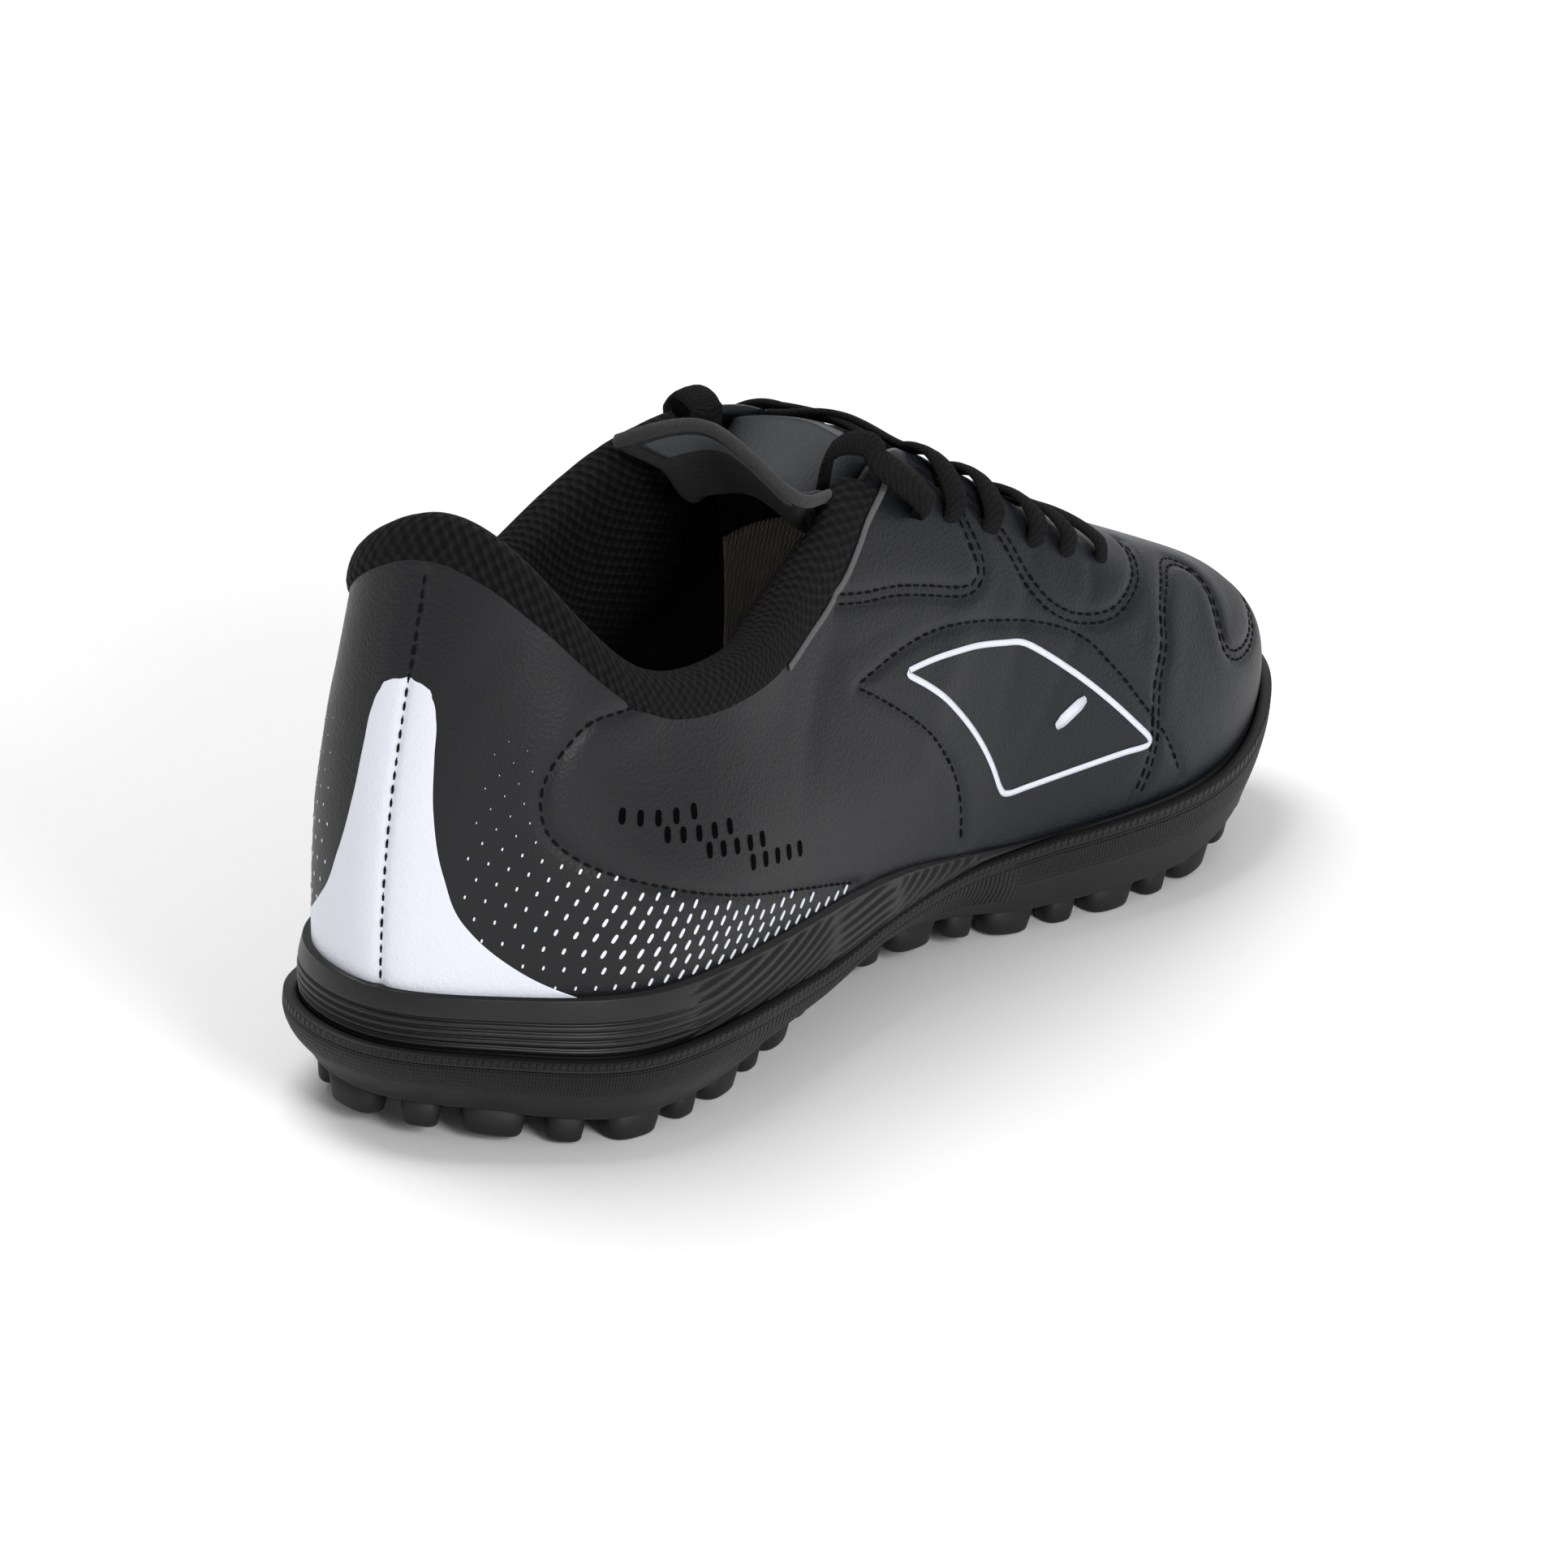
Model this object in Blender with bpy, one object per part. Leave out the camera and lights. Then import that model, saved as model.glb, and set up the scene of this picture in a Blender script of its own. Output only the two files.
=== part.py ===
"""Turf shoe for the left foot, empty and standing on its studs.

Metres, +X to the toe, +Y to the outer side of the foot, +Z up. The medial side, the one that
the photograph shows, is -Y. A place on the shoe is given by around (0 at the heel seam, 0.25 on
the medial waist, 0.5 at the toe, 0.75 on the lateral waist) and up (0 at the feather line where
the upper meets the sole, 1 at the edge of the opening).
"""

import math

import bmesh
import bpy
import numpy as np

# Driving sizes
LAST_LENGTH = 0.236
BALL_WIDTH = 0.075
SOLE_HEIGHT = 0.028
QUARTER_HEIGHT = 0.0736
STUD_HEIGHT = 0.0046
HEEL_BEVEL = 0.003
ARCH_LIFT = 0.0025
TOE_SPRING = 0.012
WALL_FLARE = 0.004
RIM_THICKNESS = 0.0022
TREAD_THICKNESS = 0.003
FOXING_DEPTH = 0.0012
MIDSOLE_LEDGE = 0.0015
GROOVE_DEPTH = 0.0007
UPPER_WALL = 0.0018
INSOLE_THICKNESS = 0.003
PAD_THICKNESS = 0.009
ROLL_HEIGHT = 0.0045
TONGUE_THICKNESS = 0.0025
OVERLAY_THICKNESS = 0.001
LACE_WIDTH = 0.006
LACE_THICKNESS = 0.0014
FIT_GAP = 0.0003
OVERLAY_GAP = 2 * FIT_GAP
WELD = 1e-6

# Columns and rows of the meshes. The lining and the tongue keep to the upper's own ones, so that
# their faces stay level with its faces.
AROUND_COUNT = 64
UP_COUNT = 8
LINING_COLUMNS = 21
LINING_ROWS = 4


def table(names, rows):
    """One array for each named column."""
    return dict(zip(names.split(), np.array(rows, float).T))


# Line where the upper meets the sole. along is a share of LAST_LENGTH, across of BALL_WIDTH and
# rise of SOLE_HEIGHT.
FEATHER = table("around along across rise", (
    (0.00, 0.000, -0.012, 1.00),
    (0.05, 0.046, -0.230, 0.99),
    (0.11, 0.124, -0.420, 0.98),
    (0.18, 0.277, -0.447, 0.96),
    (0.25, 0.447, -0.393, 0.89),
    (0.31, 0.596, -0.385, 0.69),
    (0.37, 0.731, -0.465, 0.68),
    (0.42, 0.859, -0.470, 0.73),
    (0.46, 0.955, -0.360, 0.90),
    (0.50, 1.000, -0.130, 1.02),
    (0.54, 0.940, 0.250, 0.93),
    (0.58, 0.829, 0.455, 0.76),
    (0.63, 0.693, 0.520, 0.70),
    (0.69, 0.553, 0.440, 0.74),
    (0.75, 0.426, 0.373, 0.86),
    (0.82, 0.277, 0.360, 0.95),
    (0.89, 0.123, 0.335, 0.99),
    (0.95, 0.025, 0.230, 1.00),
))

# Edge of the collar and throat. height is a share of QUARTER_HEIGHT above SOLE_HEIGHT.
OPENING = table("around along across height", (
    (0.00, 0.021, -0.007, 1.000),
    (0.05, 0.057, -0.220, 0.890),
    (0.11, 0.137, -0.328, 0.650),
    (0.18, 0.244, -0.353, 0.592),
    (0.25, 0.324, -0.310, 0.648),
    (0.31, 0.406, -0.263, 0.823),
    (0.37, 0.494, -0.190, 0.890),
    (0.42, 0.591, -0.159, 0.700),
    (0.46, 0.683, -0.121, 0.560),
    (0.50, 0.721, 0.000, 0.474),
    (0.54, 0.683, 0.120, 0.561),
    (0.58, 0.595, 0.160, 0.715),
    (0.63, 0.488, 0.192, 0.889),
    (0.69, 0.398, 0.285, 0.870),
    (0.75, 0.310, 0.360, 0.715),
    (0.82, 0.232, 0.375, 0.600),
    (0.89, 0.142, 0.332, 0.660),
    (0.95, 0.040, 0.225, 0.860),
))

# Side of the sole. rim is the share of the wall's height where the rubber cup ends, bulge and
# low are the cup's reach beyond the feather line in WALL_FLAREs, at mid height and at the
# bottom, and ledge is the midsole's reach in MIDSOLE_LEDGEs.
SOLE_SIDE = table("around rim bulge low ledge", (
    (0.00, 0.52, 1.00, -0.40, 1.0),
    (0.05, 0.52, 1.00, -0.35, 1.0),
    (0.11, 0.52, 1.00, 0.00, 1.0),
    (0.18, 0.53, 0.80, -0.60, 1.0),
    (0.25, 0.56, 0.50, -1.60, 1.0),
    (0.31, 0.86, 0.55, -0.30, 0.3),
    (0.37, 0.98, 0.75, 0.40, -0.6),
    (0.42, 0.98, 0.70, 0.30, -0.6),
    (0.46, 0.98, 0.60, 0.00, -0.6),
    (0.50, 0.98, 0.60, -0.30, -0.6),
    (0.54, 0.98, 0.60, 0.00, -0.6),
    (0.58, 0.98, 0.70, 0.20, -0.6),
    (0.63, 0.98, 0.70, 0.30, -0.6),
    (0.69, 0.88, 0.60, 0.10, 0.2),
    (0.75, 0.58, 0.60, -0.60, 1.0),
    (0.82, 0.53, 0.80, -0.40, 1.0),
    (0.89, 0.52, 1.00, 0.00, 1.0),
    (0.95, 0.52, 1.00, -0.35, 1.0),
))

# Padded collar: pad is a share of PAD_THICKNESS.
COLLAR = table("around pad", (
    (-0.34, 0.25),
    (-0.30, 0.48),
    (-0.24, 0.80),
    (-0.17, 0.75),
    (-0.08, 0.62),
    (0.00, 0.60),
    (0.08, 0.62),
    (0.17, 0.75),
    (0.24, 0.85),
    (0.30, 0.48),
    (0.34, 0.25),
))

# Tongue. run goes from 0 under the vamp to 1 at the collar's corner and on to 2 at the free end,
# reach and lift move the free end back and up as shares of LAST_LENGTH, wing is how far down the
# eyestay the tongue's edge lies, crown lifts its middle as a share of BALL_WIDTH and narrow is the
# share of the throat's width that it keeps.
TONGUE = table("run reach wing crown narrow lift", (
    (0.0, 0.000, 0.95, 0.000, 1.00, 0.000),
    (0.3, 0.000, 0.88, 0.010, 1.00, 0.000),
    (0.7, 0.000, 0.86, 0.025, 1.00, 0.000),
    (1.0, 0.000, 0.90, 0.040, 0.96, 0.000),
    (1.1, 0.004, 0.91, 0.041, 0.94, -0.001),
    (1.3, 0.050, 0.94, 0.045, 0.80, -0.030),
    (1.7, 0.098, 0.96, 0.078, 0.86, -0.001),
    (2.0, 0.126, 0.97, 0.105, 1.14, 0.012),
))
# Leather laid over the upper, from the bottom or medial end of each piece to its other end. Its
# rear and front edges are places on the upper.
EYESTAY = table("share rear_around rear_up front_around front_up", (
    (0.0, 0.300, 0.690, 0.326, 0.600),
    (0.5, 0.289, 0.830, 0.341, 0.740),
    (1.0, 0.280, 0.960, 0.362, 0.965),
))
LOWER_EYESTAY = table("share rear_around rear_up front_around front_up", (
    (0.0, 0.350, 0.470, 0.378, 0.410),
    (0.3, 0.352, 0.600, 0.425, 0.570),
    (0.7, 0.384, 0.830, 0.448, 0.750),
    (1.0, 0.402, 0.960, 0.460, 0.960),
))
SIDE_PANEL = table("share rear_around rear_up front_around front_up", (
    (0.0, 0.287, 0.030, 0.392, 0.030),
    (0.5, 0.278, 0.330, 0.374, 0.215),
    (1.0, 0.262, 0.640, 0.354, 0.400),
))
TOE_OVERLAY = table("share rear_around rear_up front_around front_up", (
    (0.00, 0.392, 0.040, 0.392, 0.240),
    (0.10, 0.410, 0.040, 0.408, 0.420),
    (0.22, 0.440, 0.040, 0.440, 0.520),
    (0.34, 0.460, 0.040, 0.458, 0.400),
    (0.50, 0.500, 0.040, 0.500, 0.360),
    (0.66, 0.540, 0.040, 0.542, 0.400),
    (0.78, 0.560, 0.040, 0.560, 0.520),
    (0.90, 0.590, 0.040, 0.592, 0.420),
    (1.00, 0.608, 0.040, 0.608, 0.240),
))
HEEL_STRIP = table("share rear_around rear_up front_around front_up", (
    (0.0, -0.006, 0.700, 0.006, 0.700),
    (1.0, -0.006, 0.960, 0.006, 0.960),
))

# Eyelets from the collar's corner to the toe, with the place on the throat's edge that the lace
# passes above each.
LACING = table("around up throat", (
    (0.332, 0.850, 0.366),
    (0.335, 0.735, 0.396),
    (0.345, 0.655, 0.416),
    (0.361, 0.585, 0.434),
    (0.374, 0.550, 0.447),
    (0.397, 0.550, 0.461),
))
# The free end is turned towards the outer side and leans up there
TONGUE_SKEW = 0.15
TONGUE_TILT = 0.09
TONGUE_FRONT = 30 / AROUND_COUNT
TONGUE_CORNER = 23 / AROUND_COUNT
THROAT_ROWS = 7
FREE_ROWS = 5


def ring_spline(knots, values, places):
    """Smooth closed curve through the values, one lap being 1, read at the places."""
    count = len(knots)
    steps = np.diff(np.append(knots, knots[0] + 1))
    slopes = np.diff(np.append(values, values[0])) / steps
    matrix = np.zeros((count, count))
    right = np.zeros(count)
    for row in range(count):
        before, after = steps[row - 1], steps[row]
        matrix[row, row - 1] += after
        matrix[row, row] += 2 * (before + after)
        matrix[row, (row + 1) % count] += before
        right[row] = 3 * (after * slopes[row - 1] + before * slopes[row])
    tangents = np.linalg.solve(matrix, right)
    places = (np.asarray(places, float) - knots[0]) % 1 + knots[0]
    first = np.searchsorted(knots, places, side="right") - 1
    last = (first + 1) % count
    width = steps[first]
    share = (places - knots[first]) / width
    return (
        (1 + 2 * share) * (1 - share) ** 2 * values[first]
        + share * (1 - share) ** 2 * width * tangents[first]
        + share ** 2 * (3 - 2 * share) * values[last]
        + share ** 2 * (share - 1) * width * tangents[last]
    )


def line_spline(knots, values, places):
    """Smooth open curve through the values, read at the places."""
    slopes = np.gradient(values, knots)
    places = np.clip(places, knots[0], knots[-1])
    first = np.clip(np.searchsorted(knots, places, side="right") - 1, 0, len(knots) - 2)
    width = knots[first + 1] - knots[first]
    share = (places - knots[first]) / width
    return (
        (1 + 2 * share) * (1 - share) ** 2 * values[first]
        + share * (1 - share) ** 2 * width * slopes[first]
        + share ** 2 * (3 - 2 * share) * values[first + 1]
        + share ** 2 * (share - 1) * width * slopes[first + 1]
    )


def smooth_step(value):
    value = np.clip(value, 0, 1)
    return value * value * (3 - 2 * value)


def unit(vectors):
    return vectors / np.linalg.norm(vectors, axis=-1, keepdims=True)


def feather(around):
    read = lambda name: ring_spline(FEATHER["around"], FEATHER[name], around)
    return np.stack([
        read("along") * LAST_LENGTH,
        read("across") * BALL_WIDTH,
        read("rise") * SOLE_HEIGHT,
    ], -1)


def opening(around):
    read = lambda name: ring_spline(OPENING["around"], OPENING[name], around)
    return np.stack([
        read("along") * LAST_LENGTH,
        read("across") * BALL_WIDTH,
        SOLE_HEIGHT + read("height") * QUARTER_HEIGHT,
    ], -1)


# Handles of the curve that runs up each column: shares of the column's height and depth
FOOT_RISE = 0.42
FOOT_LEAN = 0.044 * BALL_WIDTH
COLLAR_DROP = 0.40
COLLAR_LEAN = 0.053 * BALL_WIDTH
VAMP_REACH = 0.50
VAMP_DROP = 0.18
VAMP_START = 0.38
VAMP_END = 0.60


def column_point(around, up):
    """Point of the upper's outer face."""
    around, up = np.broadcast_arrays(np.asarray(around, float), np.asarray(up, float))
    foot, top = feather(around), opening(around)
    flat = foot - top
    flat[..., 2] = 0
    depth = np.linalg.norm(flat, axis=-1, keepdims=True)
    out = flat / np.maximum(depth, WELD)
    height = (top - foot)[..., 2:]
    lift = np.array([0, 0, 1.0])
    vamp = (foot[..., :1] / LAST_LENGTH - VAMP_START) / (VAMP_END - VAMP_START)
    vamp = smooth_step(vamp)
    low = foot + lift * height * FOOT_RISE + out * FOOT_LEAN
    collar = out * COLLAR_LEAN - lift * height * COLLAR_DROP
    instep = out * depth * VAMP_REACH - lift * height * VAMP_DROP
    high = top + collar * (1 - vamp) + instep * vamp
    share = up[..., None]
    rest = 1 - share
    return (
        rest ** 3 * foot
        + 3 * rest ** 2 * share * low
        + 3 * rest * share ** 2 * high
        + share ** 3 * top
    )


def column_frame(around, up):
    """Outward normal and upward direction of the upper's outer face."""
    step = 1e-3
    sideways = column_point(around + step, up) - column_point(around - step, up)
    upward = column_point(around, up + step) - column_point(around, up - step)
    return unit(np.cross(sideways, upward)), unit(upward)


def upper_point(around, up, outward=0.0, beyond=0.0):
    """Point of the upper, moved along its normal and on past its top edge."""
    around, up = np.broadcast_arrays(np.asarray(around, float), np.asarray(up, float))
    normal, upward = column_frame(around, up)
    return (
        column_point(around, up)
        + normal * np.asarray(outward)[..., None]
        + upward * np.asarray(beyond)[..., None]
    )


def underside(x):
    """Height of the tread's underside above the floor: bevelled heel, arch and toe spring."""
    along = np.asarray(x) / LAST_LENGTH
    heel = HEEL_BEVEL * smooth_step((0.13 - along) / 0.15)
    arch = ARCH_LIFT * smooth_step((along - 0.34) / 0.10) * smooth_step((0.64 - along) / 0.10)
    toe = TOE_SPRING * np.clip((along - 0.78) / 0.22, 0, 1.1) ** 1.6
    return STUD_HEIGHT + heel + arch + toe


def ring_around(count=AROUND_COUNT):
    return np.arange(count) / count


def outline(around, reach):
    """Feather line moved outward in plan."""
    step = 1e-3
    sideways = feather(around + step) - feather(around - step)
    normal = np.stack([sideways[..., 1], -sideways[..., 0]], -1)
    points = feather(around)
    points[..., :2] += unit(normal) * np.asarray(reach)[..., None]
    return points


def sole_side(name, around):
    return ring_spline(SOLE_SIDE["around"], SOLE_SIDE[name], around)


def sole_ring(around, reach, share):
    """Ring round the sole at a share of its wall's height, 0 at the tread and 1 at the feather."""
    points = outline(around, reach)
    bottom = underside(points[:, 0])
    points[:, 2] = bottom + (points[:, 2] - bottom) * share
    return points


def raised(ring, height):
    return ring + np.array([0, 0, height])


def fold(ring):
    """The ring closed flat on the line halfway between its two sides."""
    return (ring + np.roll(ring[::-1], 1, axis=0)) / 2


def new_material(name, colour, roughness):
    material = bpy.data.materials.new(name)
    material.use_nodes = True
    shader = material.node_tree.nodes["Principled BSDF"]
    shader.inputs["Base Color"].default_value = (*colour, 1)
    shader.inputs["Roughness"].default_value = roughness
    shader.inputs["Metallic"].default_value = 0
    material.diffuse_color = (*colour, 1)
    return material


def finish(name, mesh, material):
    """Weld, turn the faces out and make the object."""
    bmesh.ops.remove_doubles(mesh, verts=mesh.verts, dist=WELD)
    bmesh.ops.dissolve_degenerate(mesh, edges=mesh.edges, dist=WELD)
    bmesh.ops.recalc_face_normals(mesh, faces=mesh.faces)
    if mesh.calc_volume(signed=True) < 0:
        bmesh.ops.reverse_faces(mesh, faces=mesh.faces)
    data = bpy.data.meshes.new(name)
    mesh.to_mesh(data)
    mesh.free()
    data.materials.append(material)
    thing = bpy.data.objects.new(name, data)
    bpy.context.scene.collection.objects.link(thing)
    data.shade_smooth()
    data.set_sharp_from_angle(angle=math.radians(35))
    return thing


def lofted(name, rings, material):
    """Closed body through closed rings of points."""
    rings = np.array(rings)
    rows, count = rings.shape[:2]
    mesh = bmesh.new()
    bmesh.ops.create_grid(mesh, x_segments=count, y_segments=rows - 1, size=0.5)
    for vertex in mesh.verts:
        column = round((vertex.co.x + 0.5) * count) % count
        row = round((vertex.co.y + 0.5) * (rows - 1))
        vertex.co = rings[row, column]
    return finish(name, mesh, material)


def plate(name, place, columns, rows, material):
    """Closed body between the two faces that place gives for layer 0 and layer 1."""
    mesh = bmesh.new()
    bmesh.ops.create_grid(mesh, x_segments=columns, y_segments=rows, size=0.5)
    grown = bmesh.ops.extrude_face_region(mesh, geom=mesh.faces[:])
    for item in grown["geom"]:
        if isinstance(item, bmesh.types.BMVert):
            item.co.z = 1
    across = np.array([vertex.co.x + 0.5 for vertex in mesh.verts])
    along = np.array([vertex.co.y + 0.5 for vertex in mesh.verts])
    layer = np.array([vertex.co.z for vertex in mesh.verts])
    for vertex, point in zip(mesh.verts, place(across, along, layer)):
        vertex.co = point
    return finish(name, mesh, material)


def make_upper(material):
    around = ring_around()
    shares = np.linspace(0, 1, UP_COUNT + 1)
    outer = [upper_point(around, share) for share in shares]
    inner = [upper_point(around, share, -UPPER_WALL) for share in shares[::-1]]
    return lofted("upper", outer + inner + outer[:1], material)


def rubber_rings(around):
    """Reach and height share of the rubber cup at its rim, belly and bottom edge."""
    rim = sole_side("rim", around)
    bulge = sole_side("bulge", around) * WALL_FLARE
    low = sole_side("low", around) * WALL_FLARE
    return rim, bulge, low


def rim_ring(around, reach, drop=0.0):
    """Ring level with the cup's rim, kept below the feather line so that the upper clears it."""
    rim = sole_side("rim", around)
    ring = sole_ring(around, reach, rim)
    limit = feather(around)[:, 2] - 3 * FIT_GAP
    ring[:, 2] = np.minimum(ring[:, 2], limit) - drop
    return ring


def make_outsole(material):
    around = ring_around()
    rim, bulge, low = rubber_rings(around)
    tread = sole_ring(around, low - FOXING_DEPTH, 0)
    corner = raised(sole_ring(around, low, 0), FOXING_DEPTH)
    flank = sole_ring(around, low + (bulge - low) * 0.75, 0.45 * rim)
    belly = sole_ring(around, bulge, 0.78 * rim)
    rim_out = rim_ring(around, bulge)
    rim_in = rim_ring(around, bulge - RIM_THICKNESS)
    throat = sole_ring(around, low + (bulge - low) * 0.5 - RIM_THICKNESS, 0.45 * rim)
    floor = raised(sole_ring(around, low - RIM_THICKNESS, 0), TREAD_THICKNESS)
    rings = [fold(tread), tread, corner, flank, belly, rim_out, rim_in, throat, floor, fold(floor)]
    return lofted("outsole", rings, material)


GROOVE_COUNT = 3


def make_midsole(material):
    around = ring_around()
    rim, bulge, low = rubber_rings(around)
    inset = RIM_THICKNESS + FIT_GAP
    floor = raised(sole_ring(around, low - inset, 0), TREAD_THICKNESS + FIT_GAP)
    waist = raised(sole_ring(around, low + (bulge - low) * 0.5 - inset, 0.45 * rim), FIT_GAP)
    neck = rim_ring(around, bulge - inset)
    ledge = sole_side("ledge", around) * MIDSOLE_LEDGE
    shelf = rim_ring(around, ledge, -FIT_GAP)
    top = outline(around, ledge)
    top[:, 2] -= FIT_GAP
    rings = [fold(floor), floor, waist, neck, shelf]
    # Grooves run round the heel and fade out where the cup meets the feather line
    band = np.maximum(top[:, 2] - shelf[:, 2], 0)
    depth = GROOVE_DEPTH * smooth_step((band / SOLE_HEIGHT - 0.08) / 0.12)
    for step in range(1, 2 * GROOVE_COUNT):
        share = step / (2 * GROOVE_COUNT)
        ring = outline(around, ledge - depth * (step % 2) + 0.4 * MIDSOLE_LEDGE * math.sin(math.pi * share))
        ring[:, 2] = shelf[:, 2] + band * share
        rings.append(ring)
    rings += [top, fold(top)]
    return lofted("midsole", rings, material)


def stud(mesh, x, y, length, width, turn):
    """One lug of the tread, oblong and tapered, rooted in the tread."""
    root = TREAD_THICKNESS / 2
    made = bmesh.ops.create_cone(
        mesh, cap_ends=True, segments=8, radius1=0.42, radius2=0.54, depth=1,
    )["verts"]
    eighth = math.pi / 8
    for vertex in made:
        a = vertex.co.x * math.cos(eighth) - vertex.co.y * math.sin(eighth)
        b = vertex.co.x * math.sin(eighth) + vertex.co.y * math.cos(eighth)
        a *= length
        b *= width
        px = x + a * math.cos(turn) - b * math.sin(turn)
        py = y + a * math.sin(turn) + b * math.cos(turn)
        base = float(underside(px))
        height = base + root if vertex.co.z > 0 else base - STUD_HEIGHT
        vertex.co = (px, py, height)


STUD_PITCH = 0.0116
STUD_INSET = 0.0042
LARGE_STUD = (0.0112, 0.0072)
SMALL_STUD = (0.0068, 0.0062)
ROW_PITCH = 0.0190


def make_studs(mesh):
    """A row of lugs round the edge and rows across the middle."""
    fine = np.linspace(0, 1, 721)
    low = sole_side("low", fine) * WALL_FLARE
    edge = outline(fine, low - STUD_INSET)
    steps = np.linalg.norm(np.diff(edge[:, :2], axis=0), axis=1)
    walked = np.concatenate([[0], np.cumsum(steps)])
    count = 2 * round(walked[-1] / STUD_PITCH / 2)
    for index in range(count):
        place = (index + 0.5) / count * walked[-1]
        x = np.interp(place, walked, edge[:, 0])
        y = np.interp(place, walked, edge[:, 1])
        ahead = np.interp((place + 0.001) % walked[-1], walked, edge[:, 0])
        aside = np.interp((place + 0.001) % walked[-1], walked, edge[:, 1])
        size = LARGE_STUD if index % 2 else SMALL_STUD
        stud(mesh, x, y, *size, math.atan2(aside - y, ahead - x))
    rows = int((edge[:, 0].max() - edge[:, 0].min()) / ROW_PITCH)
    half = len(fine) // 2
    for row in range(1, rows):
        x = edge[:, 0].min() + (row + 0.3) * ROW_PITCH
        near = np.interp(x, edge[:half, 0], edge[:half, 1])
        far = np.interp(x, edge[::-1][:half, 0], edge[::-1][:half, 1])
        room = far - near - 2 * ROW_PITCH * 0.85
        if room < 0:
            continue
        number = int(room / ROW_PITCH) + 1
        for step in range(number):
            y = (near + far) / 2 + (step - (number - 1) / 2) * ROW_PITCH
            stud(mesh, x, y, *(LARGE_STUD if (row + step) % 2 else SMALL_STUD), 0)


def add_studs(outsole, material):
    mesh = bmesh.new()
    make_studs(mesh)
    studs = finish("stud_field", mesh, material)
    studs.hide_render = True
    studs.display_type = "WIRE"
    union = outsole.modifiers.new("studs", "BOOLEAN")
    union.operation = "UNION"
    union.solver = "EXACT"
    union.object = studs


def make_insole(material):
    around = ring_around()
    inset = UPPER_WALL + 2 * FIT_GAP
    lower = outline(around, -inset)
    top = raised(outline(around, -inset - 0.3 * INSOLE_THICKNESS), INSOLE_THICKNESS)
    rings = [fold(lower), lower, top, fold(top)]
    return lofted("insole", rings, material)


def collar_section(place, pad):
    """Closed loop across the padded collar: up its back, over the upper's edge and down."""
    clear = UPPER_WALL + 2 * FIT_GAP
    rows = 1 - np.arange(LINING_ROWS, -1, -1) / UP_COUNT
    back = upper_point(place, rows, -clear)
    foot = upper_point(place, rows[:1], -clear - 0.15 * pad)
    over = [
        upper_point(place, 1.0, -clear, 3 * FIT_GAP),
        upper_point(place, 1.0, -0.1 * UPPER_WALL, 3.5 * FIT_GAP),
        upper_point(place, 1.0, 0.3 * UPPER_WALL, 0.5 * ROLL_HEIGHT),
        upper_point(place, 1.0, -0.2 * pad, 0.92 * ROLL_HEIGHT),
        upper_point(place, 1.0, -0.6 * pad - 0.3 * UPPER_WALL, ROLL_HEIGHT),
        upper_point(place, 1.0, -0.95 * pad - clear, 0.55 * ROLL_HEIGHT),
    ]
    taper = np.array([1.08, 1.05, 0.85, 0.5])
    front = upper_point(place, rows[:0:-1], -clear - pad * taper)
    return np.concatenate([foot, back[:-1], np.array(over), front])


def make_collar_lining(material):
    places = np.arange(-LINING_COLUMNS, LINING_COLUMNS + 1) / AROUND_COUNT
    pads = line_spline(COLLAR["around"], COLLAR["pad"], places) * PAD_THICKNESS
    rings = [collar_section(*values) for values in zip(places, pads)]
    rings = [fold(rings[0])] + rings + [fold(rings[-1])]
    return lofted("collar_lining", rings, material)


def tongue_point(across, along, layer):
    """Across 0 is the medial edge and 1 the lateral one; along 0 is under the vamp."""
    row = along * (THROAT_ROWS + FREE_ROWS)
    run = np.where(row < THROAT_ROWS, row / THROAT_ROWS, 1 + (row - THROAT_ROWS) / FREE_ROWS)
    read = lambda name: line_spline(TONGUE["run"], TONGUE[name], run)
    around = TONGUE_FRONT + (TONGUE_CORNER - TONGUE_FRONT) * np.minimum(run, 1)
    wing = read("wing")
    drop = -(UPPER_WALL + 2 * FIT_GAP)
    medial_low = upper_point(around, wing, drop)
    medial = upper_point(around, 1.0, drop)
    lateral = upper_point(1 - around, 1.0, drop)
    lateral_low = upper_point(1 - around, wing, drop)
    middle = (medial + lateral) / 2
    middle[:, 2] += read("crown") * BALL_WIDTH
    hinge = np.stack([medial_low, medial, middle, lateral, lateral_low])
    stations = np.array([0, 0.2, 0.5, 0.8, 1.0])
    points = np.empty((len(across), 3))
    for index, share in enumerate(across):
        for axis in range(3):
            points[index, axis] = line_spline(stations, hinge[:, index, axis], share)
    points[:, 0] -= read("reach") * LAST_LENGTH
    points[:, 1] *= read("narrow")
    points[:, 2] += read("lift") * LAST_LENGTH
    free = np.maximum(run - 1, 0) ** 2
    points[:, 0] -= free * TONGUE_SKEW * points[:, 1]
    points[:, 2] += free * TONGUE_TILT * points[:, 1]
    points[:, 2] -= layer * TONGUE_THICKNESS
    return points


def make_tongue(material):
    return plate("tongue", tongue_point, 10, THROAT_ROWS + FREE_ROWS, material)


def make_overlay(name, shape, lateral, columns, rows, material):
    """Piece of leather lying just clear of the upper, with edges that the table gives."""
    def place(across, along, layer):
        read = lambda column: line_spline(shape["share"], shape[column], along)
        around = read("rear_around") * (1 - across) + read("front_around") * across
        up = read("rear_up") * (1 - across) + read("front_up") * across
        outward = OVERLAY_GAP + layer * OVERLAY_THICKNESS
        return upper_point(1 - around if lateral else around, up, outward)
    return plate(name, place, columns, rows, material)


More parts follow.
